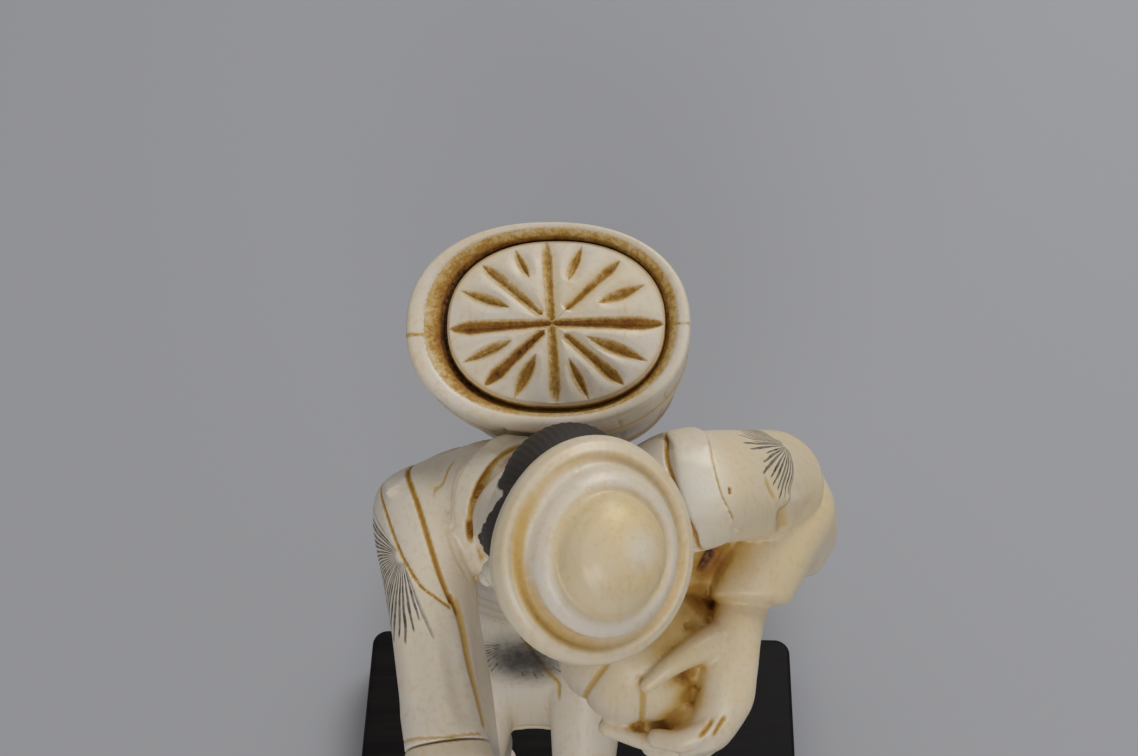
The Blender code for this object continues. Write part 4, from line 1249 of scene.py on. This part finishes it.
RIGHT_STRAP_INSIDE = [(-22.5, 15.5, 108.5), (-23.6, 11.8, 111.2), (-22.4, 7.3, 112.7),
                      (-21.2, 4.0, 111.6), (-20.1, 0.8, 110.4), (-19.0, -2.3, 109.2),
                      (-18.0, -4.5, 108.2), (-17.0, -6.4, 107.2)]
RIGHT_STRAP_OUTSIDE = [(-26.6, 13.0, 107.5), (-27.2, 10.0, 109.2), (-26.4, 6.4, 110.1),
                       (-24.9, 1.9, 109.9), (-23.6, -0.9, 109.5), (-21.3, -4.4, 108.8),
                       (-19.3, -5.8, 108.2), (-17.0, -7.0, 107.0)]
COLLAR_WIDTH, RIGHT_STRAP_WIDTH, LEFT_STRAP_WIDTH, LEFT_CORD_WIDTH = 3.6, 4.2, 5.4, 3.4


def bands(tree):
    """Collar and shoulder straps, draped over the trunk and sleeves."""
    return [
        band(tree, BAND_CORE, COLLAR, COLLAR_WIDTH, 1.1),
        band(tree, BAND_CORE, RIGHT_STRAP, RIGHT_STRAP_WIDTH, 0.7),
        band(tree, BAND_CORE, LEFT_STRAP, LEFT_STRAP_WIDTH, 0.6),
        band(tree, BAND_CORE, LEFT_CORD, LEFT_CORD_WIDTH, 0.6),
    ]


def right_frame():
    """X to the arm's outer side, Y ahead along it from the cuff, Z up."""
    side = RIGHT_AHEAD.cross(Vector((0, 0, 1))).normalized()
    return frame_matrix(side, RIGHT_AHEAD, side.cross(RIGHT_AHEAD), Vector(RIGHT_CUFF))


def cuff_end():
    form = bmesh.new()
    bmesh.ops.create_cube(form, size=1)
    place = Matrix.Translation((0, 10 - GAP, -12)) @ Matrix.Diagonal((30, 20, 44, 1))
    return moved([form], right_frame() @ place)[0]


def ring(half, height, middle=(0, 0), points=24, start=0.0, turn=math.tau):
    """Points round a level oval."""
    return [(middle[0] + half[0] * math.cos(start + turn * step / points),
             middle[1] + half[1] * math.sin(start + turn * step / points), height)
            for step in range(points + 1)]


def face_lines():
    """Eyes shut to a slit, brows, nostrils and lips, in the head's axes."""
    lines = [([(-2.6, 10.9, -6.8), (-1.0, 11.3, -6.95), (1.0, 11.3, -6.95), (2.6, 10.9, -6.8)],
              0.24, 0.35, 0.5),
             ([(-1.6, 10.6, -8.9), (0, 10.9, -9.1), (1.6, 10.6, -8.9)], 0.5, 0.2, 0.0)]
    for side in (-1, 1):
        lines += [
            ([(side * 1.9, 10.4, -0.3), (side * 3.6, 10.9, -0.6), (side * 5.7, 9.6, -0.2)],
             0.24, 0.34, 0.6),
            ([(side * 1.8, 10.4, 0.7), (side * 3.7, 10.7, 1.3), (side * 6.0, 9.2, 0.6)],
             0.26, 0.22, 0.25),
            ([(side * 1.7, 11.0, 3.0), (side * 3.9, 10.8, 3.9), (side * 6.6, 9.0, 3.1)],
             0.5, -0.22, 0.0),
            ([(side * 2.4, 10.8, -2.6), (side * 2.7, 10.3, -3.6), (side * 2.2, 10.8, -4.3)],
             0.28, 0.3, 0.35),
            ([(side * 0.9, 12.0, -4.4), (side * 1.3, 11.9, -4.5)], 0.35, 0.4, 0.6),
            ([(side * 10.2, -1.0, 0.6), (side * 10.5, 0.9, -0.6), (side * 10.4, 0.6, -2.6),
              (side * 10.3, -0.6, -3.4)], 0.3, 0.4, 0.4),
        ]
    return lines


def cloth_lines():
    """Creases, seams and hems of the robe, as (points, half width, depth, stain, fade). In some
    creases and in the slot under the left arm the stain is painted shade.
    """
    return [
        ([(-17.2, 13.8, 113.6), (-18.9, 10.0, 114.2), (-20.0, 6.4, 113.2)], 0.20, 0.10, 0.34, 0.25),
        # The crease between the right sleeve and the body; its brown is painted shade.
        ([(-17.0, -5.2, 107.5), (-15.7, -8.6, 105.2), (-14.9, -12.6, 103.2),
          (-13.6, -17.3, 100.5), (-12.8, -20.8, 98.6)], 0.60, 0.40, 0.38, 0.06),
        # The corner where the right strap meets the chest; its brown is painted shade.
        ([(-18.2, -4.6, 108.2), (-16.8, -6.2, 107.0), (-15.9, -8.2, 105.6)], 0.30, 0.20, 0.76, 0.3),
        ([(-22.6, -8.0, 106.4), (-21.6, -14.0, 105.0), (-20.0, -21.8, 102.4)], 1.3, 0.30, 0, 0.2),
        ([(-19.6, -9.0, 107.0), (-18.4, -16.1, 104.5), (-17.0, -21.6, 102.8)], 1.1, -0.30, 0, 0.2),
        ([(-17.8, -9.8, 106.2), (-16.4, -16.5, 103.8), (-15.2, -21.4, 101.6)], 0.9, 0.26, 0, 0.2),
        ([(-25.8, -4.0, 104.0), (-25.0, -11.0, 101.0), (-24.0, -19.0, 98.0)], 1.5, 0.35, 0, 0.2),
        ([(-24.4, -22.0, 97.0), (-21.6, -22.9, 101.1), (-18.3, -23.2, 102.2),
          (-15.0, -22.6, 101.7), (-12.9, -21.6, 99.7)], 0.16, 0.14, 0.30, 0.05),
        ([(-26.6, 12.5, 105), (-28.0, 6.0, 101), (-27.0, -4.0, 93), (-25.5, -12.0, 84)],
         1.6, 0.45, 0.1, 0.2),
        ([(-28.0, 10.0, 99), (-27.6, 2.0, 91), (-26.0, -6.0, 82)], 1.3, 0.35, 0.08, 0.2),
        ([(25.9, 14.6, 106.2), (27.0, 13.0, 104.4), (27.8, 12.3, 101.6)], 0.35, 0.25, 0.25, 0.3),
        # The fold down the left sleeve; its brown is painted shade.
        ([(29.0, 13.2, 100.8), (29.6, 12.6, 97.0), (30.4, 12.9, 92.5), (30.8, 13.8, 89.0)],
         1.0, 0.75, 0.24, 0.25),
        ([(28.1, 15.4, 102.9), (30.8, 17.0, 96.0), (33.4, 18.5, 89.5)], 1.5, 0.4, 0.0, 0.2),
        ([(23.0, 20.0, 106), (28.0, 24.0, 99.0), (32.5, 26.0, 91.0)], 1.4, 0.4, 0.0, 0.2),
        ([(26.0, 12.0, 104), (30.5, 14.5, 99), (34.5, 18.0, 92.5)], 1.2, -0.30, 0, 0.2),
        # The slot under the left arm: a carved groove, its near-black colour painted shade.
        ([(21.0, 14.0, 90.4), (20.3, 12.8, 87.4), (19.4, 11.7, 85.2), (18.4, 10.7, 83.0)],
         0.85, 1.2, 1.0, 0.25),
        ([(37.5, 25.0, 84), (38.0, 26.0, 74), (38.5, 25.0, 64)], 1.5, 0.5, 0.12, 0.2),
        ([(34.5, 15.0, 80), (36.0, 19.0, 72), (37.5, 21.0, 64)], 1.3, 0.4, 0.12, 0.2),
    ]


def carve_round(tree, carving, points, width, depth, stain):
    """Adds a line wherever it lies on the surface."""
    for line in runs(tree, points, within=2.5):
        carving.add(line, width, depth, stain)


def engraving(tree):
    """Every engraved line of the figure."""
    carving = Carving()
    for points, width, depth, stain, fade in cloth_lines():
        carving.add(dropped(tree, points), width, depth, stain, fade)
    for points, width, depth, stain in face_lines():
        points = [head_matrix() @ Vector(point) for point in points]
        carving.add(dropped(tree, points), width, depth, stain, 0.1)

    # straps: a groove down each edge, striations on the left one
    carving.add(dropped(tree, RIGHT_STRAP_INSIDE), 0.29, 0.45, 0.62, 0.02)
    carving.add(dropped(tree, RIGHT_STRAP_OUTSIDE), 0.18, 0.34, 0.54, 0.02)
    for edge, stain in zip(LEFT_STRAP_EDGES, (0.42, 0.56)):
        carving.add(dropped(tree, edge), 0.26, 0.42, stain, 0.02)
    for step in range(-4, 5):
        carving.add(beside(dropped(tree, [(15.6, 11.0, 113), (17.0, 7.0, 111)]), step * 0.5),
                    0.13, 0.12, 0.0, 0.3)
    carving.add(dropped(tree, [(20.6, 9.9, 110.3), (20.9, 8.9, 110.0)]), 0.20, 0.25, 0.7, 0.1)

    # collar: the line against the neck, the sunk spot in it and the border's outer edge
    for flip in (False, True):
        inner = [(-5.3, 12.4, 118.7), (-8.6, 11.4, 118.5), (-10.7, 10.2, 117.7),
                 (-12.4, 8.6, 116.5), (-13.6, 6.7, 115.1), (-14.5, 4.5, 113.6),
                 (-14.9, 2.7, 112.1), (-14.9, 1.2, 110.4)]
        outer = [(-6.4, 16.0, 117.0), (-11.0, 14.4, 116.8), (-15.6, 9.4, 116.0),
                 (-17.4, 3.7, 112.0), (-16.6, -0.7, 107.5), (-14.8, -3.0, 102.0)]
        if flip:
            inner, outer = [[(-9.6 - x, y, z) for x, y, z in line] for line in (inner, outer)]
        carving.add(dropped(tree, inner), 0.30, 0.45, 0.50, 0.04)
        carving.add(dropped(tree, outer), 0.30, 0.16, 0.10, 0.2)
    carving.add(dropped(tree, [(-15.0, 3.9, 113.0), (-15.0, 0.6, 109.6)]), 0.34, 1.0, 1.0, 0.4)

    # hat: the grooves of its plaited rings, browner at the right and the front
    hat_matrix = head_matrix(HAT_LIFT)
    for radius, height, width, depth, stain, fade, start, turn in (
            (10.85, 4.3, 0.60, 0.35, 0.20, 0, 0.0, math.tau),
            (10.85, 4.3, 0.72, 0.0, 0.38, 0.45, -2.3, 4.6),
            (7.35, 6.9, 0.50, 0.25, 0.10, 0, 0.0, math.tau),
            (12.3, 4.15, 0.35, 0.12, 0.0, 0, 0.0, math.tau)):
        half = (radius * HAT_WIDTH, radius * HAT_WIDTH * HAT_OVAL)
        points = [hat_matrix @ Vector(point)
                  for point in ring(half, height, (0, 0), 40, start, turn)]
        carving.add(dropped(tree, points, 3), width, depth, stain, fade)

    # melon: ribs and stalk
    flank = MELON_RADIUS * 0.965
    for rib in range(RIBS):
        turn = math.tau * rib / RIBS + RIB_TURN
        points = [melon_matrix() @ Vector((flank * math.sin(down) * math.cos(turn),
                                           flank * math.sin(down) * math.sin(turn),
                                           MELON_RADIUS * MELON_FLAT * math.cos(down)))
                  for down in np.radians(np.linspace(32, 165, 18))]
        for line in runs(tree, points, 0.9, 3):
            carving.add(line, 0.40, 0.30, 0.34, 0.05)

    # hand: between the fingers, over the knuckles
    for points in ([(20.3, -8.5, 74.0), (19.1, -10.1, 73.2), (17.7, -11.5, 72.2)],
                   [(22.2, -8.3, 74.5), (20.9, -9.9, 73.3), (20.0, -11.1, 71.9)]):
        carving.add(dropped(tree, points), 0.3, 0.4, 0.48, 0.25)

    # sash, hem and overlap of the skirt, wrapped shins
    for height in (72.6, 75.0, 77.2):
        carve_round(tree, carving, ring((16.4, 12.6), height, (-5, 19.2)), 0.32, 0.3, 0.14)
    carve_round(tree, carving, ring((20.6, 15.6), 38.6, (-7, 18.6)), 0.26, 0.2, 0.32)
    overlap = [(-9.5, 7.0, 69.5), (-6.0, 5.5, 60), (-1.0, 3.8, 50), (4.0, 3.5, 38)]
    carve_round(tree, carving, overlap, 0.35, 0.35, 0.42)
    for _, knee, ankle, _ in LEGS:
        for wrap in range(SHIN_WRAPS):
            share = 0.16 + 0.13 * wrap
            middle = (knee[0] + (ankle[0] - knee[0]) * share,
                      knee[1] + (ankle[1] - knee[1]) * share + 1)
            height = SHIN_TOP - SHIN_LENGTH * share
            tilted = [(x, y, z + 0.35 * (y - middle[1]))
                      for x, y, z in ring((4.8, 5.4), height, middle, 16)]
            carve_round(tree, carving, tilted, 0.28, 0.22, 0.32)
    return carving


def hair_share(spots):
    """1 in the hair under the hat, with a jagged edge at the neck, and the turn round the
    head."""
    x, y, z = in_head(spots)
    turn = np.arctan2(y, x)
    jag = 1.0 * np.abs((turn * 5.1) % 2 - 1) + 0.6 * np.abs((turn * 13 + 0.4) % 2 - 1)
    aside = np.abs(np.arctan2(x, -y))
    edge = np.maximum(0.9 + jag - 9 * step_up(aside, 0.5, 1.15), -6.6 + 0.4 * jag)
    edge += 12 * step_up(aside, 1.12, 1.3)
    skull = step_up(z - edge, -0.22, 0.22) * step_up(-np.hypot(x, y), -17.5, -16.6)
    skull *= step_up(-y, -2.8, -2.2)
    middle, half = np.array(BUN)
    gap = np.linalg.norm((np.stack([x, y, z], axis=1) - middle) / (half + 0.5), axis=1)
    knot = step_up(1.06 - gap, 0, 0.05) * step_up(z, -5.0, -4.4)
    return np.maximum(skull, knot) * step_up(-z, -5.6, -5.2), turn


FANS = (((-23.9, -0.2, 109.4), (-0.82, -0.42, -0.38), 1.25),
        ((30.6, 23.0, 99.6), (-0.75, -0.25, 0.45), 1.15),
        ((-27.6, 2.0, 86.0), (0.1, -0.6, -0.8), 0.9),
        ((38.5, 24.0, 66.0), (0.0, 0.3, -1.0), 0.9),
        ((-10.4, 5.6, 66.0), (0.15, 0.0, -1.0), 1.1),
        ((-18.0, 30.0, 52.0), (-0.2, 0.1, -1.0), 1.0),
        ((8.0, 30.0, 58.0), (0.5, 0.2, -0.8), 0.85))
PATCH = ((-8.6, 6.8, 60.8), (10.5, 9.5, 10.0))      # the cloud of ink on the skirt's front
HIGHLIGHT_SPOT = (16.2, 9.0, 112.0)                    # a painted highlight on the left strap, centred here
# Painted shade in the recesses round the left arm, the hand and the melon: place, spread and amount
SHADE_POOLS = (((19.0, 11.7, 85.5), 5.0, 0.98), ((18.2, 8.0, 79.6), 3.6, 0.74),
         ((15.4, 4.4, 80.6), 3.8, 0.68), ((12.6, 1.4, 80.8), 3.8, 0.62),
         ((23.4, 11.0, 85.0), 4.0, 0.42), ((16.0, -3.2, 77.0), 2.6, 0.80),
         ((16.4, -4.4, 73.6), 3.0, 0.62), ((15.0, -6.6, 69.8), 3.2, 0.60),
         ((12.6, -6.8, 67.0), 3.0, 0.64))


def needle_places(tree, spots):
    """Where each spot lies in the nearest fan: along its middle, across and how far off, all
    in the fan's own size."""
    places = np.tile(NO_FAN, (len(spots), 1))
    for centre, ahead, size in FANS:
        middle, normal, _, _ = tree.find_nearest(Vector(centre))
        across = normal.cross(Vector(ahead)).normalized()
        along = across.cross(normal)
        offset = spots - np.array(middle)
        far = np.linalg.norm(offset, axis=1) / size
        x, y = offset @ np.array(along), offset @ np.array(across)
        stretch = far / np.maximum(np.hypot(x, y), 1e-6)
        closer = (far < 13) & (far < places[:, 2])
        places[closer] = np.stack([x * stretch, y * stretch, far], axis=1)[closer]
    return places


def warmth(spots):
    """How yellow the ivory is: the hat's crown, the melon, the left hand and its arm have been
    handled most."""
    x, y, z = in_head(spots, HAT_LIFT)
    out = np.hypot(x, y / HAT_OVAL)
    crown = step_up(z, 3.0, 4.0) * (1 - step_up(out, 6.5, 8.5))
    crown *= step_up(np.hypot(x + 2, y), 0.5, 4)
    rim = step_up(z, -1.5, 0) * step_up(out, 11.2, 12.4) * 0.45 * step_up(-out, -16, -15)
    fruit = bell(np.linalg.norm(spots - (14, 2, 72), axis=1), 15)
    arm = 0.65 * step_up(spots[:, 0], 15, 24)
    return np.clip(0.9 * crown + rim + np.maximum(0.9 * fruit, arm), 0, 0.9)


def figure():
    cloth = [trunk(), skirt(), right_sleeve(), *left_sleeve()]
    tree = tree_of([cloth[0], right_sleeve(2), cloth[3]])
    forms = cloth + [sash()] + bands(tree) + head() + [hat(), melon()] + left_hand()
    forms += [leg(hip, knee, ankle) for hip, knee, ankle, _ in LEGS]
    for _, _, ankle, turn in LEGS:
        forms += foot(ankle, turn)
    obj = as_object("figure_carving", joined(forms))
    fuse(obj, FIGURE_VOXEL, 3)
    cut_away(obj, cuff_end())
    seat = loft(tub_outside(GAP) + [oval(GAP, inset(TUB_HALF, 1.0))], 144, 1)
    moved([seat], tub_frame())
    cut_away(obj, seat)

    tree = surface_tree(obj)
    carving = engraving(tree)
    spots, normals = spots_of(obj)
    nearest, _ = carving.stain(spots)
    hair, turn = hair_share(spots)
    spots = carving.sink(spots, normals)
    strands = 0.12 * np.abs(np.sin(turn * 46))
    spots += normals * (hair * (0.45 - strands))[:, None]
    put_spots(obj, spots)
    thin(obj, FIGURE_TRIANGLES, np.maximum(bell(np.maximum(nearest - 1, 0), 0.8), hair))

    spots, _ = spots_of(obj)
    tint = carving.stain(spots)[1]
    # Stain and painted shade in the hollows: the more shut in a spot is, the browner it is painted.
    shut = 1 - openness(obj, 7.0)
    stain_and_shade = step_up(shut, 0.16, 0.72) * 0.8
    # Painted shade pools in the recesses, stronger where the surface is shut in.
    for middle, size, amount in SHADE_POOLS:
        shade_pool = bell(np.linalg.norm(spots - middle, axis=1), size)
        stain_and_shade = np.maximum(stain_and_shade, amount * shade_pool * (0.5 + 0.5 * step_up(shut, 0, 0.22)))
    attribute(obj, "hollow_stain_and_shade", stain_and_shade)
    attribute(obj, "line", tint)
    patch = 0.86 * step_up(-np.linalg.norm((spots - PATCH[0]) / PATCH[1], axis=1), -1.25, -0.1)
    attribute(obj, "ink", np.maximum(hair_share(spots)[0], patch))
    attribute(obj, "warm", warmth(spots))
    # A painted highlight on the left strap.
    attribute(obj, "strap_highlight", 0.9 * bell(np.linalg.norm(spots - HIGHLIGHT_SPOT, axis=1), 4.5))
    attribute(obj, "needles", needle_places(tree, spots))
    finished(obj, ivory_figure(), "ivory", "figure")


def right_hand():
    """The open hand let into the right cuff, palm up, fingers a little curled."""
    rows = [[0, ahead, 0, wide, 0, 0, 0, 0, over, 0, 0, -under, 2.3]
            for ahead, wide, over, under in
            ((0, 5.7, 5.0, 5.6), (2.5, 5.9, 5.0, 5.8), (3.2, 4.3, 3.6, 4.0), (7.0, 3.9, 2.9, 3.4),
             (11, 4.7, 2.2, 3.0), (15, 4.9, 1.7, 2.6))]
    forms = [loft(rows, 48, 8, (0, 1.5))]
    for across, size, length in ((3.7, 1.15, 8.0), (1.25, 1.3, 10.4), (-1.2, 1.35, 11.0),
                                 (-3.6, 1.3, 10.2)):
        path = [(across, 13.5, -0.5), (across, 13.5 + length * 0.45, -1.4),
                (across, 13.5 + length * 0.85, -0.1), (across, 13.5 + length, 2.1)]
        forms.append(tube(path, [size * 1.15, size * 1.05, size, size * 0.8], 20, 6))
    thumb = [(-3.0, 6.0, 0), (-6.4, 10.0, 0.6), (-6.8, 14.5, 1.6)]
    forms.append(tube(thumb, [2.4, 1.9, 1.3], 20, 8))
    moved(forms, right_frame())
    obj = as_object("right_hand_carving", joined(forms))
    fuse(obj, HAND_VOXEL, 2)
    thin(obj, HAND_TRIANGLES)
    shut = 1 - openness(obj, 4.0)
    # Stain and painted shade where the hand is shut in.
    attribute(obj, "hollow_stain_and_shade", step_up(shut, 0.15, 0.85) * 0.7)
    attribute(obj, "line", np.zeros(len(shut)))
    attribute(obj, "ink", np.zeros(len(shut)))
    attribute(obj, "warm", np.full(len(shut), 0.5))
    attribute(obj, "needles", np.tile(NO_FAN, (len(shut), 1)))
    finished(obj, ivory_figure(), "ivory", "right_hand")


# ---------------------------------------------------------------- studio

def studio():
    """A plain pale floor, two soft lights, the room's own light and the camera."""
    form = bmesh.new()
    bmesh.ops.create_grid(form, x_segments=2, y_segments=2, size=3.0)
    floor = as_object("floor", form)
    finish = Finish("floor_paper", 0.8)
    finish.shader.inputs["Base Color"].default_value = FLOOR_GREY
    floor.data.materials.append(finish.material)

    for name, (place, size, power) in LIGHTS.items():
        light = bpy.data.lights.new(name, "AREA")
        light.shape = "DISK"
        light.size = size
        light.energy = power
        lamp = bpy.data.objects.new(name, light)
        lamp.location = place
        lamp.rotation_mode = "QUATERNION"
        lamp.rotation_quaternion = (Vector((0, 0, 0.1)) - Vector(place)).to_track_quat("-Z", "Y")
        bpy.context.scene.collection.objects.link(lamp)

    world = bpy.data.worlds.new("room")
    world.use_nodes = True
    world.node_tree.nodes["Background"].inputs["Color"].default_value = ROOM_WHITE
    world.node_tree.nodes["Background"].inputs["Strength"].default_value = ROOM_LIGHT
    bpy.context.scene.world = world
    bpy.context.scene.view_settings.view_transform = "Standard"

    camera = bpy.data.cameras.new("camera")
    camera.sensor_width = 36
    camera.lens = CAMERA_LENS
    camera.clip_start = 0.01
    eye = bpy.data.objects.new("camera", camera)
    eye.location = CAMERA
    eye.rotation_euler = (math.pi / 2 - CAMERA_DOWN, 0, 0)
    bpy.context.scene.collection.objects.link(eye)
    bpy.context.scene.camera = eye


plinth()
tub()
lid()
figure()
right_hand()
studio()
